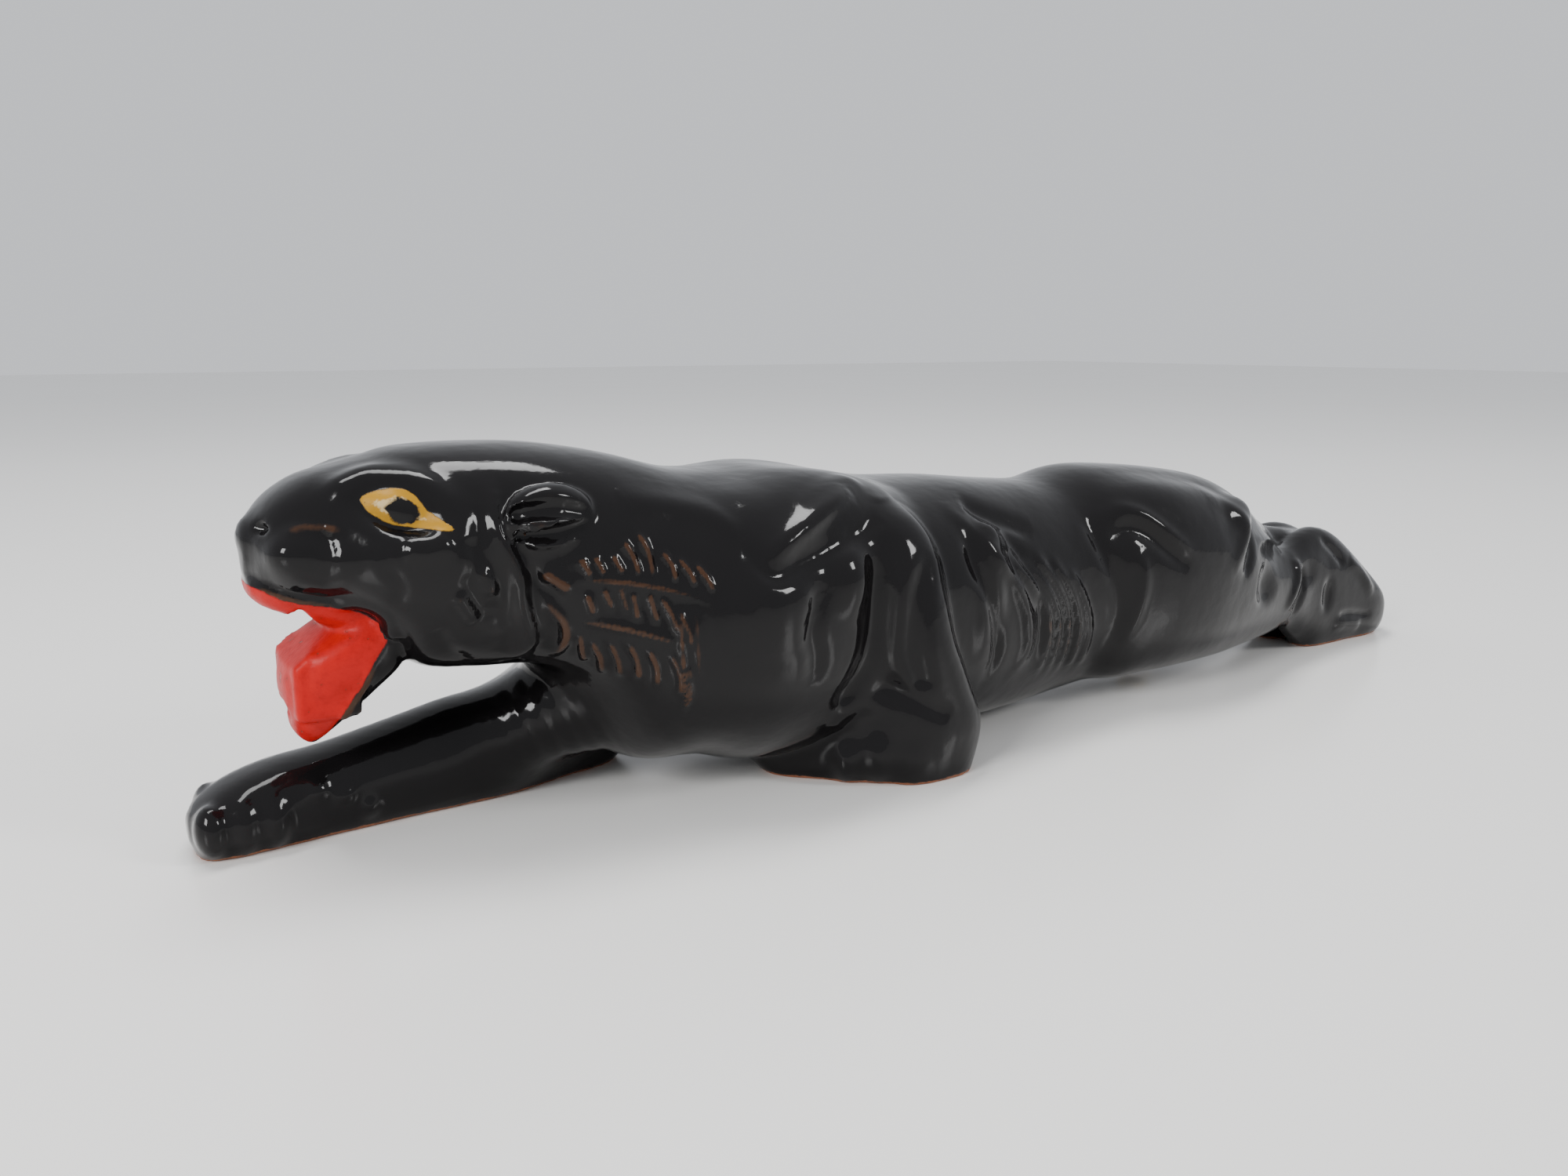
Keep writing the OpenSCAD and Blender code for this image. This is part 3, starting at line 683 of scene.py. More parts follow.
@dataclass(frozen=True)
class Metal(Finish):
    """A plated or turned metal with fine wear."""

    colour: tuple[float, float, float]
    tarnish: tuple[float, float, float]
    roughness: float = 0.28

    def material(self, name: str) -> bpy.types.Material:
        """Makes the material.

        Args:
            name: The material's name.

        Returns:
            The material.
        """
        p = Paint(name)
        cloud, grain = p.noise(260, 4), p.noise(2600, 2)
        colour = p.mix(cloud.rise(0.45, 0.75) * 0.6, self.colour, self.tarnish)
        rough = cloud * 0.16 + grain * 0.08 + (self.roughness - 0.12)
        return p.finish(
            Base_Color=colour, Metallic=1.0, Roughness=rough, Normal=p.bump(grain, 0.00002, 0.6)
        )


@dataclass(frozen=True)
class Moulded(Finish):
    """A moulded, pressed or sleeved part: phenolic, rubber, fibre, plastic or an insulated lead."""

    colour: tuple[float, float, float]
    roughness: float
    mottle: float = 0.25
    coat: float = 0.0
    grain: float = 0.00003

    def material(self, name: str) -> bpy.types.Material:
        """Makes the material.

        Args:
            name: The material's name.

        Returns:
            The material.
        """
        p = Paint(name)
        cloud, grain = p.noise(190, 5, 0.6), p.noise(3200, 2)
        dust = tuple(c * 0.65 + 0.05 for c in self.colour)
        colour = p.mix(cloud.rise(0.35, 0.8) * self.mottle, self.colour, dust)
        rough = cloud * 0.2 + (self.roughness - 0.1)
        return p.finish(
            Base_Color=colour, Roughness=rough, Coat_Weight=self.coat, Normal=p.bump(grain, self.grain, 0.7)
        )


@dataclass(frozen=True)
class Clear(Finish):
    """Glass, with a little unevenness from blowing."""

    colour: tuple[float, float, float]
    roughness: float = 0.02
    frost: float = 0.0

    def material(self, name: str) -> bpy.types.Material:
        """Makes the material.

        Args:
            name: The material's name.

        Returns:
            The material.
        """
        p = Paint(name)
        wave = p.noise(90, 2)
        rough = wave * 0.03 + (self.roughness + self.frost)
        p.surface.inputs["IOR"].default_value = 1.5
        p.surface.inputs["Transmission Weight"].default_value = 1.0
        return p.finish(Base_Color=self.colour, Roughness=rough, Normal=p.bump(wave, 0.0003, 0.3))


@dataclass(frozen=True)
class Glaze(Finish):
    """Black gloss glaze that thins to brown on edges, with cold paint in the mouth and on the eyes."""

    black: tuple[float, float, float] = (0.0052, 0.0047, 0.005)
    thin: tuple[float, float, float] = (0.075, 0.032, 0.014)
    red: tuple[float, float, float] = (0.42, 0.006, 0.005)
    ochre: tuple[float, float, float] = (0.33, 0.17, 0.01)
    pale: tuple[float, float, float] = (0.50, 0.40, 0.22)
    clay: tuple[float, float, float] = (0.30, 0.115, 0.06)

    def material(self, name: str) -> bpy.types.Material:
        """Makes the material.

        Args:
            name: The material's name.

        Returns:
            The material.
        """
        p = Paint(name)
        wear, speck, wave = p.noise(420, 6, 0.65), p.noise(1500, 3), p.noise(62, 2)
        edge = (p.reading("edge") + (wear - 0.5) * 0.6).rise(0.55, 1.3) * 0.5
        height = p.node("SeparateXYZ", {}, {0: p.place()}, "Z")
        foot = (height + (wear - 0.5) * 0.0016).rise(0.0011, 0.0004)
        mouth = (p.reading("mouth") + (wear - 0.5) * 1.1).rise(-0.1, 0.35)
        chips = (wear + (speck - 0.5) * 0.35).rise(0.66, 0.7)
        eye = (p.reading("eye") + (wear - 0.5) * 0.9).rise(0.0, 0.3)
        white = (p.reading("eye") + (speck - 0.5) * 1.6).rise(1.5, 2.2)
        pupil = (p.reading("pupil") + (wear - 0.5) * 2.4).rise(-0.2, 0.3)
        paint = (mouth * (1 - chips)).larger(eye * (1 - pupil) * (1 - chips * 0.6))
        colour = p.mix(edge, self.black, self.thin)
        stained = p.mix(wear.rise(0.4, 0.75) * 0.5, self.red, tuple(0.55 * c for c in self.red))
        bare = p.mix(speck.rise(0.4, 0.6), self.clay, tuple(0.4 * c for c in self.clay))
        colour = p.mix(mouth, colour, p.mix(chips, stained, bare))
        iris = p.mix(white * 0.7, self.ochre, self.pale)
        colour = p.mix(eye * (1 - pupil) * (1 - chips * 0.6), colour, iris)
        colour = p.mix(foot, colour, self.clay)
        rough = (wave * 0.05 + speck * 0.03 + 0.05) * (1 - paint) + paint * (wear * 0.2 + 0.3)
        rough = rough * (1 - foot) + foot * 0.8
        slow = p.bump(wave, 0.0011, 0.4)
        fine = p.bump(p.noise(330, 2), 0.00012, 0.5, slow)
        layer = p.bump(paint * 0.6 + speck * paint * 0.4, 0.00016, 0.8, fine)
        p.surface.inputs["Specular IOR Level"].default_value = 0.14
        return p.finish(
            Base_Color=colour, Roughness=rough, Coat_Weight=(1 - paint) * (1 - foot) * 0.1, Normal=layer
        )


def graded(stops: Sequence[tuple[float, float]], end: float) -> np.ndarray:
    """Lays grid lines with a step that changes along the way.

    Args:
        stops: Where each stretch starts and its step.
        end: Where the last stretch ends.

    Returns:
        The lines' coordinates.
    """
    starts = [s for s, _ in stops[1:]] + [end]
    runs = [np.arange(a, b, step) for (a, step), b in zip(stops, starts, strict=True)]
    return np.concatenate([*runs, [end]])


TRUNK: Stations = (
    (-187.8, 0, 68, 3.6, 3, 3.5, 2.4), (-186.6, 0, 68.4, 8.4, 6.4, 7.8, 2.6),
    (-184.4, 0, 69, 11.2, 8.8, 9.4, 2.7), (-181, 0, 69, 13.8, 11.6, 10.6, 2.7),
    (-176, 0, 69, 16.4, 14.2, 12, 2.6), (-169, 0, 68.5, 19.4, 16.4, 14, 2.5),
    (-163, 0, 66.5, 21.6, 19.8, 19, 2.5), (-156, 0, 64, 23.6, 24, 24, 2.5),
    (-144, 0, 62.5, 26.4, 26, 24.6, 2.4), (-130, 0, 60, 30, 28, 23.5, 2.3),
    (-118, 0, 55, 33.4, 31.4, 26, 2.3), (-107, 0, 49.5, 36, 34.6, 38.6, 2.3),
    (-92, 0.5, 45.5, 38.8, 34.6, 37.5, 2.4), (-80, 0.5, 44, 39.6, 35, 39.5, 2.5),
    (-65, 0, 43, 39.6, 36.2, 39.5, 2.5), (-48, 0, 42, 38.4, 35, 40.5, 2.5),
    (-30, 0, 41, 36.4, 33, 40, 2.4), (-8, 0, 40.5, 33.6, 32.3, 39.6, 2.4),
    (14, 0, 40.5, 30.2, 30, 39.4, 2.3), (31, 0, 41, 28.2, 28.6, 39, 2.2),
    (48, 0, 42, 29.4, 30.6, 38, 2.2), (66, 0, 41.5, 30.2, 30.4, 35.5, 2.2),
    (88, 0, 40, 29.4, 29.4, 32, 2.2), (104, 0, 38, 26.4, 28.2, 29.5, 2.2),
    (118, 0, 35, 22, 25.6, 26, 2.1), (131, 0, 32.5, 16.5, 20.4, 21, 2), (143, 0, 31, 10, 15, 13, 2),
    (151, 0, 30, 4, 6, 6, 2),
)  # fmt: skip
PALATE: Stations = (
    (-188, 0, 61, 6.4, 2, 2.6, 2.4), (-185.6, 0, 60.4, 9.6, 3.4, 4.4, 2.6), (-181, 0, 59.4, 12, 4, 5.6, 2.8),
    (-175, 0, 58, 12.8, 5, 6.6, 2.8), (-167, 0, 54, 12.4, 6, 7, 2.6), (-160, 0, 50, 10, 6, 6, 2.4),
)  # fmt: skip
JAW: Stations = (
    (-161, 0, 57, 10, 6, 4, 2.3), (-164.4, 0, 51.5, 14, 9, 8, 2.6), (-169.4, 0, 46, 14.6, 12, 11.6, 2.9),
    (-170.8, 0, 41.5, 13.8, 12, 12.4, 3), (-174.2, 0, 36.5, 12, 10, 9.4, 2.9),
    (-176.8, 0, 31.5, 9.8, 7, 6.2, 2.5), (-177.9, 0, 27.5, 6.4, 3.6, 3.6, 2.2),
    (-178.2, 0, 25.2, 2.6, 1.5, 1.5, 2),
)  # fmt: skip
STRETCHED_LEG: Stations = (
    (-203, 11, 6, 4.4, 3, 3.6, 2.2), (-200.8, 11, 6.4, 8.4, 5, 8.6, 2.4),
    (-195, 11.4, 7, 10.8, 7.8, 10, 2.5), (-186, 12, 8, 11.2, 9.4, 11, 2.5),
    (-174, 12.6, 8.5, 11, 10.4, 11.5, 2.4), (-160, 13.5, 9.5, 11.4, 12, 12.5, 2.3),
    (-146, 14, 11, 11.8, 13.4, 14, 2.3), (-131, 15, 13, 12.4, 14, 16, 2.3),
    (-116, 18, 18.5, 13, 17, 21, 2.3), (-101, 21, 26, 13.5, 22, 27.6, 2.3),
    (-85, 22, 36, 11, 20, 22, 2.2), (-70, 20, 40, 7, 11, 11, 2),
)  # fmt: skip
FOLDED_ARM: Stations = (
    (-34, -30, -4, 13, 12.4, 14, 2.7), (-33, -31.6, 12, 13.4, 14.6, 14, 2.7),
    (-36, -32.4, 24, 12.6, 13.4, 13, 2.6), (-40, -32.6, 36, 12.2, 12.4, 12, 2.4),
    (-42.6, -31.6, 48, 11.8, 12.4, 12, 2.4), (-44.4, -29.4, 60, 11, 12, 11, 2.4),
    (-45.6, -26.5, 67, 9.2, 9.6, 8.4, 2.3), (-46, -24, 71, 4.6, 4.8, 4, 2),
)  # fmt: skip
FOLDED_PAW: Stations = (
    (-20.5, -29, 8, 4, 4, 5, 2.2), (-25.5, -28.5, 9, 12.4, 10, 12, 2.5), (-35, -28, 10.5, 16, 14, 14, 2.6),
    (-45, -27, 11, 15.8, 16.6, 14, 2.6), (-54, -23, 11, 13.6, 17.6, 14, 2.5),
    (-62, -18, 10.5, 10.6, 16.5, 13, 2.4), (-69.5, -14, 9, 7.6, 10, 9.5, 2.3),
    (-74, -12, 9, 3.6, 4, 4, 2),
)  # fmt: skip
TAIL: Stations = (
    (112, 0.7, 52, 7, 7, 7, 2), (126, 0.7, 48.6, 6.4, 6, 7, 2), (142, 0.7, 41.6, 5.6, 5, 7, 2),
    (158, 0.7, 38.6, 5, 4.8, 6, 2), (172, 0.7, 36, 4.6, 4.4, 6, 2), (185, 0.7, 29.4, 4.6, 4.4, 6, 2),
    (197, 0.7, 21.6, 4.6, 4.4, 6, 2), (206, 0.7, 14, 4.2, 4, 5, 2), (210, 0.7, 10.4, 2.4, 2.4, 3, 2),
)  # fmt: skip
HIND_LEG: Stations = (
    (30, -13, 42, 7, 15, 19, 2.1), (46, -16, 41, 13.6, 25, 32, 2.2), (64, -17, 40, 16, 28, 32, 2.3),
    (84, -17, 38, 15.4, 26.5, 30, 2.3), (100, -16.4, 35, 13.2, 22, 27, 2.2),
    (112, -15.4, 31.5, 11.2, 16.5, 23, 2.1), (123, -14, 28, 9.6, 13.5, 19, 2.1),
    (134, -12.2, 26, 8.8, 13.4, 16.6, 2.1), (146, -10, 25, 8.6, 14.6, 15, 2.2),
    (157, -8, 24, 8.4, 19, 20, 2.4), (166, -7, 22, 8.6, 22, 24, 2.5), (176, -6.4, 19, 8.8, 22, 22, 2.5),
    (188, -6, 15, 8.8, 18.4, 17.5, 2.5), (199, -6, 12, 8.6, 13, 14.5, 2.5),
    (207, -6, 10, 7.2, 8.6, 11, 2.4), (211, -6, 9.4, 4.2, 4.4, 5, 2.2), (212, -6, 9.4, 1.8, 1.8, 2, 2),
)  # fmt: skip


@dataclass(frozen=True)
class Panther:
    """The hollow casting, modelled at its first drawn size and then brought to the lamp's own size.

    Points are x towards the tail, y towards the far flank and z up, from the middle of the base.
    """

    shrink: tuple[float, float] = (0.97831, 0.97753)
    middle: float = 4.5
    shift: float = -4.978
    wall: float = 5.1
    bolt: tuple[float, float] = (84, 0)
    switch: tuple[float, float] = (-84, 43)
    inlet: tuple[float, float] = (93, 26)
    window: tuple[float, float] = (22, 40.4)

    def lines(self) -> list[np.ndarray]:
        """Lays the grid, closest at the face and the neck's fur.

        Returns:
            The grid lines along, across and up.
        """
        coarse = 1.0
        along = [(-207, 0.68), (-132, 0.56), (-98, 0.85), (-15, 1.15)]
        across = [(-49, 0.85), (-12, 1.2)]
        return [
            graded([(a, s * coarse) for a, s in along], 216),
            graded([(a, s * coarse) for a, s in across], 50),
            graded([(-2.2, 0.86 * coarse)], 94),
        ]

    def body(self, clay: Clay) -> None:
        """Builds up the trunk, the limbs and the tail.

        Args:
            clay: The lump to work on.
        """
        clay.join(Loft(TRUNK), 1)
        for flip in (False, True):
            clay.join(Ball((-152, -14.5, 66), (19, 12.6, 12), flip=flip), 7)
            clay.join(Ball((-177, -8.4, 67), (9, 9.4, 7.4), flip=flip), 4)
            clay.join(Ball((-82, -24, 46), (26, 18.4, 27), flip=flip), 8)
            clay.join(Ball((-60, -18, 60), (26, 17, 16.4), flip=flip), 8)
        clay.join(Loft(STRETCHED_LEG), 5)
        clay.join(Loft(HIND_LEG), 4)
        clay.join(Loft(HIND_LEG, flip=True, shift=-0.7), 4)
        clay.join(Loft(TAIL), 2.5)
        clay.join(Loft(FOLDED_ARM, Way.HEIGHT), 3)
        clay.join(Loft(FOLDED_PAW), 3.5)

    def head(self, clay: Clay) -> None:
        """Adds the jaws, the ears, the eyes' sockets and the nose.

        Args:
            clay: The lump to work on.
        """
        clay.join(Loft(PALATE), 1.2)
        clay.join(Loft(JAW, Way.HEIGHT), 2.5)
        clay.join(Ball((-185.8, 0, 70.6), (3.6, 6.4, 4.8)), 2.4)
        clay.join(Ball((-181.4, 0, 64.6), (7, 9, 4.6)), 3)
        clay.carve(Ball((-187.6, 0, 50.6), (10.4, 15, 6.4)), 0.6)
        clay.join(Slab((-175.8, 0, 39.6), (6.6, 11.8, 7.4)), 0.5)
        clay.carve(Slab((-181.5, 0, 50.1), (5.6, 17, 4.1), tip=40), 0.4)
        clay.carve(Ball((-186, 2, 32.4), (5, 8.4, 3.6)), 1)
        for flip in (False, True):
            brow = (
                (-169.5, -12.6, 80.6, 2), (-164, -12.6, 82, 2.4), (-157, -17, 80.6, 2.2),
                (-152.6, -20.6, 77, 1.6)
            )
            clay.join(Roll(brow, flip), 5)
            clay.join(Ball((-179.6, -11.4, 68.6), (5.8, 6.8, 5), turn=-24, flip=flip), 2)
            clay.join(Ball((-171, -14.8, 67), (5.8, 5.8, 4.6), turn=-20, flip=flip), 2)
            clay.carve(Ball((-161.6, -22.4, 77.4), (8, 3.4, 4.4), turn=-28, tip=-20, flip=flip), 4)
            clay.join(Ball((-161.4, -17.2, 76.8), (6.4, 3.7, 3.8), turn=-28, tip=-18, flip=flip), 1.4)
            clay.carve(Ball((-186, -8, 73.4), (2.4, 1.9, 1.2), turn=-40, flip=flip), 0.8)
            corner = (
                (-172.6, -12.4, 57.6, 1.6), (-167.6, -15.6, 58, 2.4), (-163.6, -16.4, 55.6, 2.6),
                (-162.4, -14.8, 51, 2.2)
            )
            clay.join(Roll(corner, flip), 1.6)
            clay.join(Ball((-131, -26, 73.4), (10.8, 6, 7.6), turn=8, tip=-4, flip=flip), 1)
            top = ((-139, -29, 75.4, 1.6), (-132, -32, 76.4, 2.5), (-124.4, -30.5, 75, 1.8))
            clay.carve(Roll(top, flip), 0.9)
            low = ((-138, -28.6, 70.6, 1.4), (-131, -31, 70.8, 2), (-124.6, -30, 72.2, 1.2))
            clay.carve(Roll(low, flip), 0.9)

    def muscles(self, clay: Clay) -> None:
        """Raises the large muscles and presses the large hollows.

        Args:
            clay: The lump to work on.
        """
        clay.join(Roll(((-130, 7, 17, 9), (-113, 2, 25, 15), (-100, -4, 32, 20))), 8)
        blade = ((-85, -34.6, 61.4, 4), (-74, -32, 65.6, 4.6), (-63, -27, 70, 4.8), (-53, -22.6, 72.4, 4.2))
        clay.join(Roll(blade), 3)
        clay.join(Ball((-84, -36, 50), (10.4, 7.8, 11)), 4)
        clay.join(Ball((-62.6, -33.4, 53.4), (7.6, 8.6, 10.6)), 3.4)
        valley = (
            (-51, -40, 62, 2), (-53, -41, 52, 3), (-54, -41, 42, 3.4), (-56, -40.4, 33, 3),
            (-61, -37, 25, 2)
        )
        clay.carve(Roll(valley), 4)
        crease = ((-40, -43, 57, 1.4), (-44.6, -44.5, 48, 2.2), (-45.6, -44, 36, 2.2), (-43, -43.4, 28, 1.2))
        clay.carve(Roll(crease), 4)
        ridge = (
            (-61, -31, 19, 3), (-55.6, -33.6, 22.4, 2.6), (-49, -36, 20.6, 2.6), (-42, -39.4, 18, 2.8),
            (-33, -41.6, 12, 3)
        )
        clay.join(Roll(ridge), 2)
        clay.join(Ball((-13, -28.6, 43), (7, 6.4, 20), tip=-8), 3)
        flank = (
            (31, -34, 56, 2.6), (33, -35.6, 46, 4.4), (37, -35, 36, 4.6), (39, -32, 24, 3.6),
            (38, -28, 15, 2)
        )
        clay.carve(Roll(flank), 4)
        clay.join(Ball((97, -20.6, 52), (12, 8, 8), turn=8, tip=28), 4)
        for flip in (False, True):
            clay.carve(Ball((119, -29, 31), (9, 5.8, 8), tip=-20, flip=flip), 3)
            clay.carve(Ball((153, -19.8, 31), (6, 3.6, 6), flip=flip), 2.4)
            clay.carve(Ball((167, -18, 35), (7, 3.2, 5), tip=-24, flip=flip), 2.4)
            clay.carve(Ball((166.5, -18.4, 20), (3.4, 4, 8), flip=flip), 2)
        for x in (-199.4, -193, -186.8):
            clay.join(Ball((x, 3.4, 7), (3.4, 4.4, 5.8), turn=14), 1.8)
            clay.join(Ball((x + 1.4, 19.2, 7), (3.4, 4, 5.6), turn=-14), 1.8)
        for x, y, z in ((-177.4, 4, 11.8), (-172, 4, 9.6), (-166.6, 4.4, 6)):
            clay.join(Ball((x, y, z), (2.8, 3.2, 2.6)), 1.8)
        for x, y, z in ((-57, -31.4, 6.4), (-50.6, -36, 7.4), (-43, -39.4, 6.6)):
            clay.join(Ball((x, y, z), (3, 3.6, 4.8), turn=-30), 4.5)

    def open_up(self, clay: Clay) -> None:
        """Hollows the casting and opens it for the lamp's fittings.

        Args:
            clay: The lump to work on.
        """
        inside = tuple(s for s in TRUNK if -178 <= s[0] <= 124)
        clay.carve(Loft(inside, skin=self.wall), 1)
        clay.carve(Drill(self.window, (12.8, 70), 17.4, 1, 41.9), 1.2)
        clay.join(Drill(self.bolt, (8.2, 14.3), 15.3, 2), 0.8)
        clay.carve(Drill(self.bolt, (-5, 9.2), 11.1, 2), 0.5)
        clay.carve(Drill(self.bolt, (5, 40), 5.3, 2), 0.4)
        clay.carve(Drill(self.switch, (13, 33.4), 13.8, 1), 0.8)
        clay.carve(Drill(self.switch, (37.5, 54), 10.4, 1), 0.8)
        clay.carve(Drill(self.switch, (20, 54), 5.5, 1), 0.4)
        clay.carve(Drill(self.inlet, (13, 23.9), 8, 1), 0.6)
        clay.carve(Drill(self.inlet, (29, 46), 8, 1), 0.6)
        clay.carve(Drill(self.inlet, (12, 46), 4.9, 1), 0.4)
        floor = -clay.lines[2][None, None, :]
        clay.body = np.maximum(clay.body, floor)

    def build(self) -> Skin:
        """Sculpts the casting and works its surface.

        Returns:
            The surface, with its readings.
        """
        clay = Clay(self.lines())
        for stage in (self.body, self.head, self.muscles, self.open_up):
            stage(clay)
        skin = Skin(*clay.shell())
        skin.relax(3)
        skin.work(MARKS)
        skin.readings["edge"] = skin.convexity() * 0.6 + skin.readings["ridges"]
        for name, patch in PATCHES.items():
            skin.readings[name] = patch.inside(skin.points)
        return skin

    def piece(self) -> bpy.types.Object:
        """Makes the finished piece at the lamp's own size.

        Returns:
            The piece, with its readings for the glaze.
        """
        skin = self.build()
        points = skin.points.copy()
        points[:, 2] = points[:, 2].clip(0)
        points[:, 0] = (points[:, 0] - self.middle) * self.shrink[0]
        points[:, 1] = points[:, 1] * self.shrink[0] + self.shift
        points[:, 2] *= self.shrink[1]
        mesh = bpy.data.meshes.new("panther_glazed")
        mesh.from_pydata((points * MM).tolist(), [], skin.faces.tolist())
        mesh.polygons.foreach_set("use_smooth", [True] * len(mesh.polygons))
        for name in ("edge", "mouth", "eye", "pupil"):
            layer = mesh.attributes.new(name, "FLOAT", "POINT")
            layer.data.foreach_set("value", skin.readings[name].astype(np.float32))
        piece = bpy.data.objects.new("panther_glazed", mesh)
        bpy.context.collection.objects.link(piece)
        log.info("casting: %d points, %d faces", len(points), len(skin.faces))
        return piece


def rows(
    height: float, width: float, y: float, *runs: tuple[float, ...], side: Side = Side.BOTH
) -> list[Stroke]:
    """Lists strokes of one kind.

    Args:
        height: How far they are raised, or pressed in if negative.
        width: Their width.
        y: The flank's distance to the side.
        runs: Each stroke as x, z, x, z and so on.
        side: Which flanks they are on.

    Returns:
        The strokes.
    """
    return [
        Stroke(height, width, tuple((x, y, z) for x, z in zip(run[::2], run[1::2], strict=True)), side)
        for run in runs
    ]


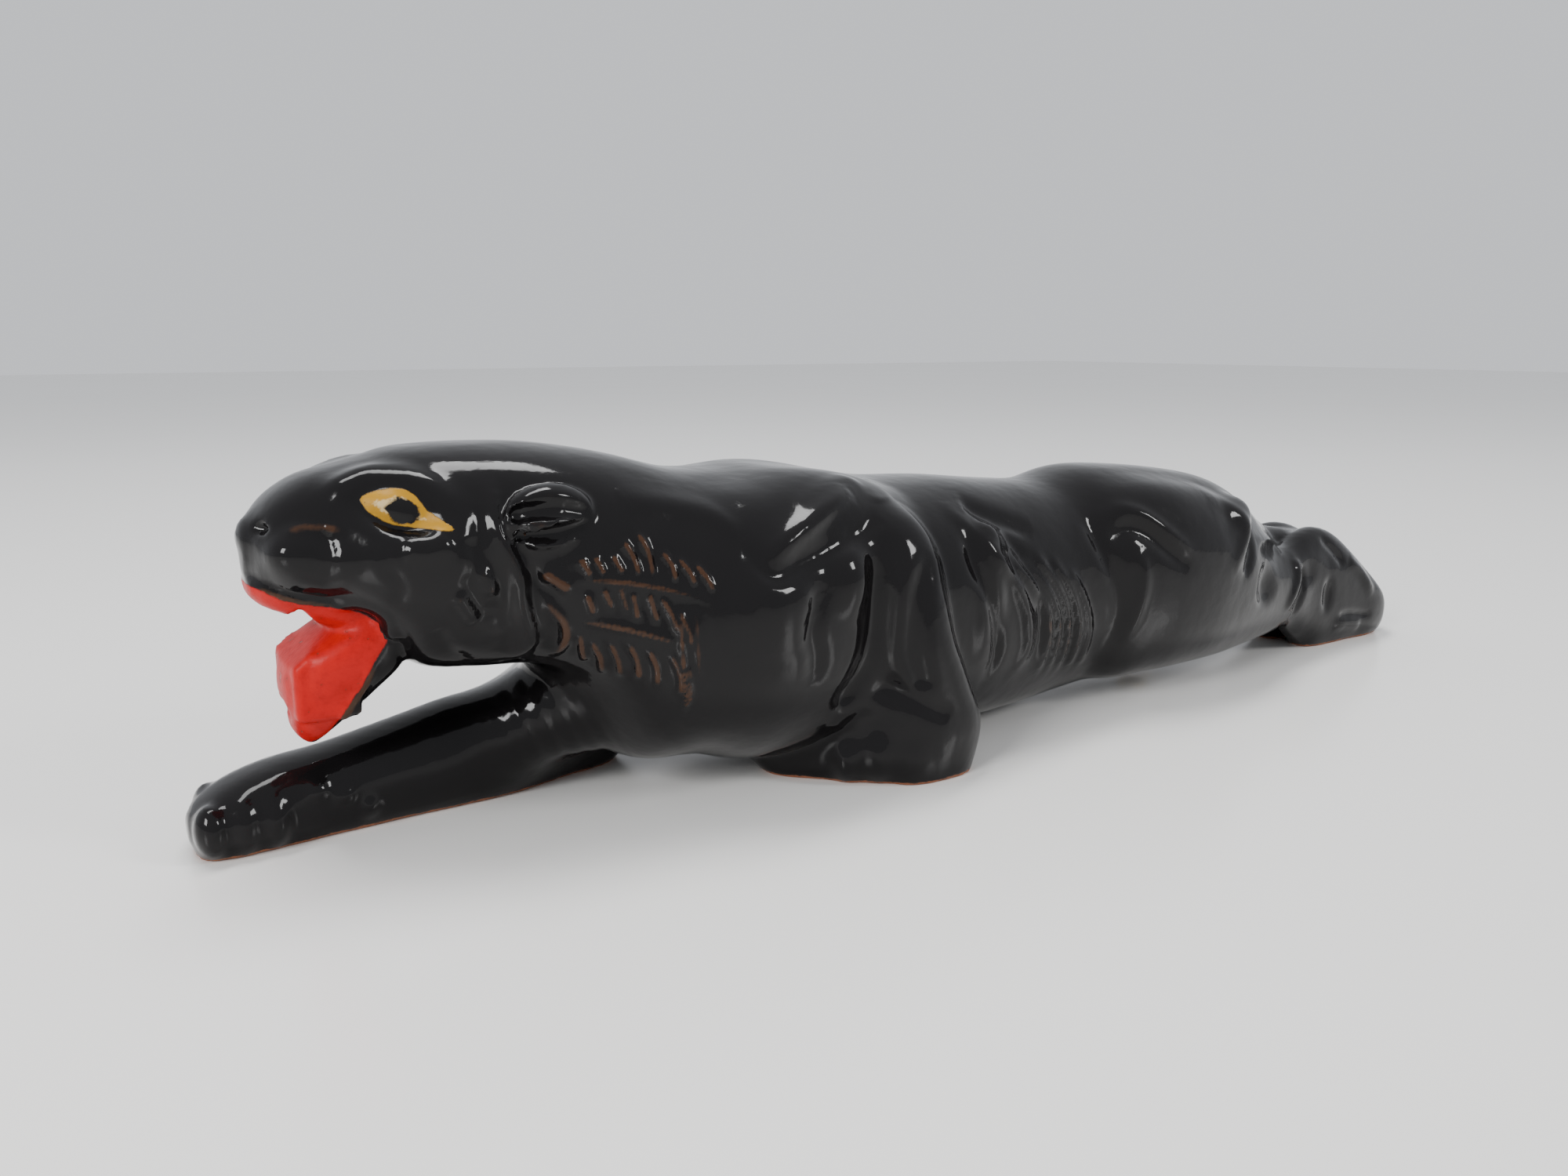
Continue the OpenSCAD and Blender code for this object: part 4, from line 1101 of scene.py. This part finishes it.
MARKS: tuple[Stroke, ...] = (
    *rows(1.1, 0.8, -31, (-126.5, 65, -124.4, 61), (-123.4, 65.4, -121.6, 61), (-119.6, 65.4, -117.6, 61)),
    *rows(1.1, 0.8, -33, (-117, 68, -115.3, 65, -114.2, 60.4), (-113.6, 69.4, -111.7, 65.4, -111.3, 60)),
    *rows(1.1, 0.8, -35, (-108.6, 65.3, -106.8, 62, -106.5, 58.5), (-105.3, 63.5, -103, 60, -102.5, 57.5)),
    *rows(1.1, 0.8, -36, (-102, 62.2, -99.6, 58.7, -98.8, 56)),
    *rows(1.1, 0.8, -31, (-125.6, 57.3, -124, 52.6), (-122, 58.2, -120.3, 53.6), (-118.7, 58.3, -117, 52.6)),
    *rows(
        1.1, 0.8, -35, (-116, 57, -115, 51), (-112.5, 56.4, -110.8, 50),
        (-110, 55.5, -107.7, 51, -106.6, 47.5)
    ),
    *rows(1.1, 0.8, -36, (-106.5, 52.5, -104.5, 47.7, -104, 44), (-106, 51, -105.6, 41.5, -103.6, 27.5)),
    *rows(1.1, 0.8, -28, (-126.6, 48.7, -125, 43.7, -123.7, 40.7), (-124, 46.5, -121.4, 42, -119.6, 37)),
    *rows(1.1, 0.8, -31, (-120.3, 45.5, -118, 41, -116.5, 36.5), (-116.6, 45.4, -114.6, 41, -113.4, 36.3)),
    *rows(1.1, 0.8, -34, (-112.6, 43.6, -110.8, 39.4, -110, 34.7), (-108, 42.5, -106, 37.4, -105.4, 32.6)),
    *rows(0.8, 0.9, -35, (-103, 52.2, -102.6, 44.4, -102, 36.2), (-104.2, 39.7, -103, 29.3)),
    *rows(
        -0.7, 3, -33, (-125, 63, -116, 64.4, -106, 61), (-124, 55, -115, 54, -106, 50),
        (-123, 44, -114, 41, -107, 38)
    ),
    *rows(
        0.7, 0.9, -33, (-127.7, 60.4, -116.6, 59, -104.7, 55.8, -98, 53.4),
        (-127.6, 51.4, -117, 48.6, -104.3, 44)
    ),
    *rows(
        1.6, 1.7, -26,
        (-141.8, 80, -143, 74, -141.5, 68.7, -139, 62.3, -138.3, 55.8, -136, 47, -138.6, 41)
    ),
    *rows(-1.3, 2.1, -27, (-140, 79, -139.6, 71, -136.4, 61, -135.6, 54, -133.4, 47)),
    *rows(-1.3, 2.2, -25, (-145, 77, -146.4, 70, -145, 64, -142.4, 58, -141.6, 50)),
    *rows(
        1.3, 1.3, -28, (-134, 56, -130, 51, -129, 46.6, -130.4, 42),
        (-134.4, 62.3, -131.5, 60.3, -128.7, 58.2)
    ),
    *rows(-0.9, 1.8, -28, (-137, 63, -132, 57, -131.4, 51, -132.6, 44)),
    *rows(
        1.3, 1.5, -25, (-152.4, 59.6, -150.3, 56.7, -147.6, 52.5),
        (-147.4, 64.2, -145.2, 61.4, -144.4, 58.2)
    ),
    *rows(
        -0.9, 1.9, -25, (-145.6, 56.3, -143, 52.7, -141, 48.3, -142, 44.4),
        (-150.4, 63, -148, 58, -145.4, 52)
    ),
    *rows(-0.8, 1.9, -20, (-155.4, 51.7, -153, 46.4, -147, 41)),
    *rows(-0.8, 2, -26, (-149.3, 71, -148, 66, -149.6, 61)),
    *rows(1.2, 2.6, -24, (-162, 69.4, -157, 69, -152.6, 70.6)),
    *rows(-0.8, 1.4, -20, (-165, 66, -162.6, 62, -163, 58)),
    *rows(-0.35, 0.8, -18, (-169, 79, -166.6, 76.2, -161, 73, -156, 72.2, -151, 72.4)),
    *rows(-0.35, 0.8, -17, (-169, 79, -164.6, 81.4, -160, 81.8, -157, 80.2, -155.2, 77.2, -151, 72.8)),
    *rows(0.6, 1.2, -18, (-182, 73.4, -177.5, 74, -171.4, 73.2)),
    *rows(-0.7, 1.2, -16, (-176, 74.8, -174.6, 69, -175.6, 64)),
    *rows(0.7, 0.9, -11, (-188, 62, -183.6, 59.8, -179, 58.4, -172, 56.8)),
    *rows(0.7, 1.1, -13, (-166.2, 44.8, -169.4, 38.1, -172.7, 33.5, -174, 30)),
    *rows(1.8, 2.2, -36, (-86, 62.2, -75.4, 67, -64.5, 71.4, -55, 74), side=Side.NEAR),
    *rows(-1.6, 2.5, -37, (-90, 65.4, -84.6, 58.8, -74, 61, -61, 64.4, -49, 68), side=Side.NEAR),
    *rows(-1.3, 3.2, -40, (-71, 56, -74.6, 44.8, -73.3, 37.8, -72.6, 30.6), side=Side.NEAR),
    *rows(1, 2.8, -29, (-116, 76.3, -106.4, 74.8, -95.3, 72, -90, 67)),
    *rows(-1.2, 2.2, -41, (-51, 27.4, -43, 22.4, -35, 17.6), side=Side.NEAR),
    *rows(
        -1.5, 2.2, -32, (-19.4, 60, -17.8, 53, -13.4, 43.6, -10, 34.5, -8.4, 26.4, -11, 20),
        side=Side.NEAR
    ),
    *rows(-1.4, 2.4, -25, (-14, 68, -5.8, 63.6, 8, 58.6), side=Side.NEAR),
    *rows(1.2, 2.2, -31, (-20.7, 67.5, -12.3, 56.3, -4, 47, 2, 38, 4.4, 27, 1, 20), side=Side.NEAR),
    *rows(
        1.3, 1.7, -30, (-5.3, 54.3, 8.8, 41, 14, 30, 13.4, 18), (1, 53, 12, 42, 18, 31, 18.4, 18),
        side=Side.NEAR
    ),
    *rows(
        1.3, 1.6, -28, (7.4, 52, 16.6, 42, 22.4, 31, 23.4, 17), (14, 50, 22, 40, 27.4, 29, 28.6, 16),
        side=Side.NEAR
    ),
    *rows(1.1, 1.6, -26, (20.7, 47, 27.6, 38, 32, 28, 33.4, 15), side=Side.NEAR),
    *rows(
        -0.9, 1.9, -30, (-4, 60, 2, 51, 8, 42, 9.8, 30, 8.6, 20), (0, 56, 11, 41, 16, 30, 16, 18),
        side=Side.NEAR
    ),
    *rows(
        -0.9, 1.8, -28, (4, 53, 14.4, 42, 20.2, 31, 21, 18), (11, 51, 19.4, 41, 25, 30, 26, 16.6),
        side=Side.NEAR
    ),
    *rows(-1.3, 2.6, -25, (33, 60, 35, 54, 38.4, 46.6, 42, 38.7, 43.6, 30.8, 43, 20), side=Side.NEAR),
    *rows(1.3, 2.4, -28, (37, 58.6, 44.8, 61.4, 51.6, 59.5, 59, 54.2, 67.6, 48), side=Side.NEAR),
    *rows(-1.5, 2.6, -28, (39, 53, 46, 56.4, 52, 54.6, 59, 49.4, 68, 43), side=Side.NEAR),
    *rows(1.2, 2.6, -30, (47, 50, 49.6, 42, 48.6, 32, 45.6, 22), side=Side.NEAR),
    *rows(1.2, 3, -26, (83, 63.5, 94, 58, 98.8, 52, 96.5, 46.6, 90, 39.6), side=Side.NEAR),
    *rows(-1.4, 2.2, -27, (108, 54, 104.4, 45, 98, 37), side=Side.NEAR),
    *rows(1.1, 2.2, -18, (111, 46.4, 122, 44.6, 133, 42.4, 137, 38.5), (143, 36, 142.4, 29, 136, 19)),
    *rows(-1.2, 1.8, -17, (147, 33, 148, 26, 143, 16), (163, 41, 170, 36, 176, 30)),
    *rows(1, 2.2, -14, (180, 31, 187.7, 26.4, 195.8, 17.4), (173, 8, 182, 7.4, 190, 5.6)),
    *rows(-1, 1.3, -14, (176, 11.6, 186, 10.6, 196, 9)),
)  # fmt: skip

PATCHES: dict[str, Patch] = {
    "eye": Patch(
        ((-168, 79.4), (-164.6, 80.8), (-160.1, 81.2), (-157.6, 79.6), (-155.6, 76.6), (-151.6, 72.8),
         (-156, 72.8), (-160.8, 73.4), (-164.2, 74.6), (-166.8, 76.8)), (8, 30)),
    "pupil": Patch(((-164, 77.4), (-161, 79.4), (-157.8, 77.6), (-157.6, 74.8), (-161.4, 74)), (8, 30)),
    "mouth": Patch(
        ((-191, 62), (-187, 61.2), (-183.6, 59.2), (-179, 57.8), (-171.3, 56), (-166.8, 53.8),
         (-164.4, 51.4), (-164, 48), (-166.8, 44.2), (-170, 38), (-173.2, 33.4), (-174.4, 30), (-177, 26.4),
         (-186, 24), (-193, 40)), (0, 15.2)),
}  # fmt: skip


FINISHES: dict[str, Finish] = {
    "black_glaze": Glaze(),
    "steel": Metal((0.58, 0.59, 0.6), (0.42, 0.41, 0.37), 0.34),
    "brass": Metal((0.75, 0.54, 0.25), (0.42, 0.27, 0.11), 0.3),
    "solder": Metal((0.6, 0.6, 0.58), (0.36, 0.36, 0.34), 0.44),
    "tungsten": Metal((0.3, 0.3, 0.31), (0.16, 0.16, 0.17), 0.4),
    "rubber": Moulded((0.022, 0.021, 0.02), 0.62),
    "phenolic": Moulded((0.055, 0.022, 0.012), 0.3, 0.2, 0.35),
    "black_phenolic": Moulded((0.014, 0.0125, 0.012), 0.28, 0.16, 0.4),
    "black_glass": Moulded((0.012, 0.012, 0.016), 0.14, 0.1, 0.6),
    "fibre": Moulded((0.30, 0.1, 0.055), 0.6, 0.4),
    "dark_lead": Moulded((0.06, 0.05, 0.042), 0.55, 0.35),
    "pale_lead": Moulded((0.62, 0.56, 0.44), 0.55, 0.4),
    "red_cap": Moulded((0.46, 0.03, 0.022), 0.3, 0.15, 0.25),
    "bulb_glass": Clear((0.97, 0.965, 0.94)),
    "stem_glass": Clear((0.9, 0.94, 0.92), frost=0.12),
}


@dataclass(frozen=True)
class Fittings:
    """The lamp's hardware, which keeps its CAD shapes."""

    def dress(self, materials: dict[str, bpy.types.Material]) -> None:
        """Gives every CAD node the material of its own slot.

        Args:
            materials: Each finish's material, by its slot.
        """
        slots = {s["node"]: s["material_slot"] for s in frame["record"]["subparts"] if "node" in s}
        for name, node in frame["nodes"].items():
            slot = slots.get(name, "steel")
            node.data.materials.clear()
            node.data.materials.append(materials[slot])
            log.info("%s: %s", name, slot)


@dataclass(frozen=True)
class Studio:
    """A plain pale table, soft light and the camera."""

    eye: Point = (-0.2205, -0.2617, 0.1085)
    heading: Point = (0.5205, 0.8282, -0.2079)
    lens: float = 27
    pale: tuple[float, float, float] = (0.76, 0.75, 0.73)

    def table(self) -> None:
        """Lays the table."""
        bpy.ops.mesh.primitive_plane_add(size=8)
        plane = bpy.context.object
        plane.name = "table"
        p = Paint("table")
        plane.data.materials.append(p.finish(Base_Color=self.pale, Roughness=p.noise(3) * 0.05 + 0.2))

    def light(self, name: str, at: Point, aim: Point, size: tuple[float, float], power: float) -> None:
        """Hangs one soft light.

        Args:
            name: Its name.
            at: Where it hangs.
            aim: What it points at.
            size: Its width and height.
            power: Its power in watts.
        """
        lamp = bpy.data.lights.new(name, "AREA")
        lamp.shape, lamp.size, lamp.size_y, lamp.energy = "RECTANGLE", size[0], size[1], power
        holder = bpy.data.objects.new(name, lamp)
        holder.location = at
        holder.rotation_euler = (Vector(aim) - Vector(at)).to_track_quat("-Z", "Y").to_euler()
        bpy.context.collection.objects.link(holder)

    def build(self) -> None:
        """Sets up the table, the lights, the surroundings and the camera."""
        self.table()
        self.light("overhead", (-0.1, 0.25, 1.25), (0, 0, 0), (1.0, 0.3), 16)
        self.light("left", (-1.3, -0.5, 0.7), (-0.05, 0, 0.05), (0.4, 0.5), 18)
        self.light("right", (1.0, -1.2, 0.9), (0.05, 0, 0.03), (0.3, 0.5), 14)
        world = bpy.data.worlds.new("room")
        world.use_nodes = True
        room = world.node_tree.nodes["Background"]
        room.inputs["Color"].default_value = (0.86, 0.88, 0.92, 1)
        room.inputs["Strength"].default_value = 0.9
        bpy.context.scene.world = world
        camera = bpy.data.cameras.new("camera")
        camera.lens, camera.sensor_width, camera.clip_start = self.lens, 36, 0.01
        holder = bpy.data.objects.new("camera", camera)
        holder.location = self.eye
        holder.rotation_euler = Vector(self.heading).to_track_quat("-Z", "Y").to_euler()
        bpy.context.collection.objects.link(holder)
        bpy.context.scene.camera = holder


def main() -> None:
    """Builds the lamp's looks in order."""
    logging.basicConfig(level=logging.INFO, format="%(message)s")
    materials = {name: finish.material(name) for name, finish in FINISHES.items()}
    Fittings().dress(materials)
    casting = Panther().piece()
    casting.data.materials.append(materials["black_glaze"])
    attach(casting, "lamp")
    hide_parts("panther_casting")
    Studio().build()


if __name__ == "__main__":
    main()
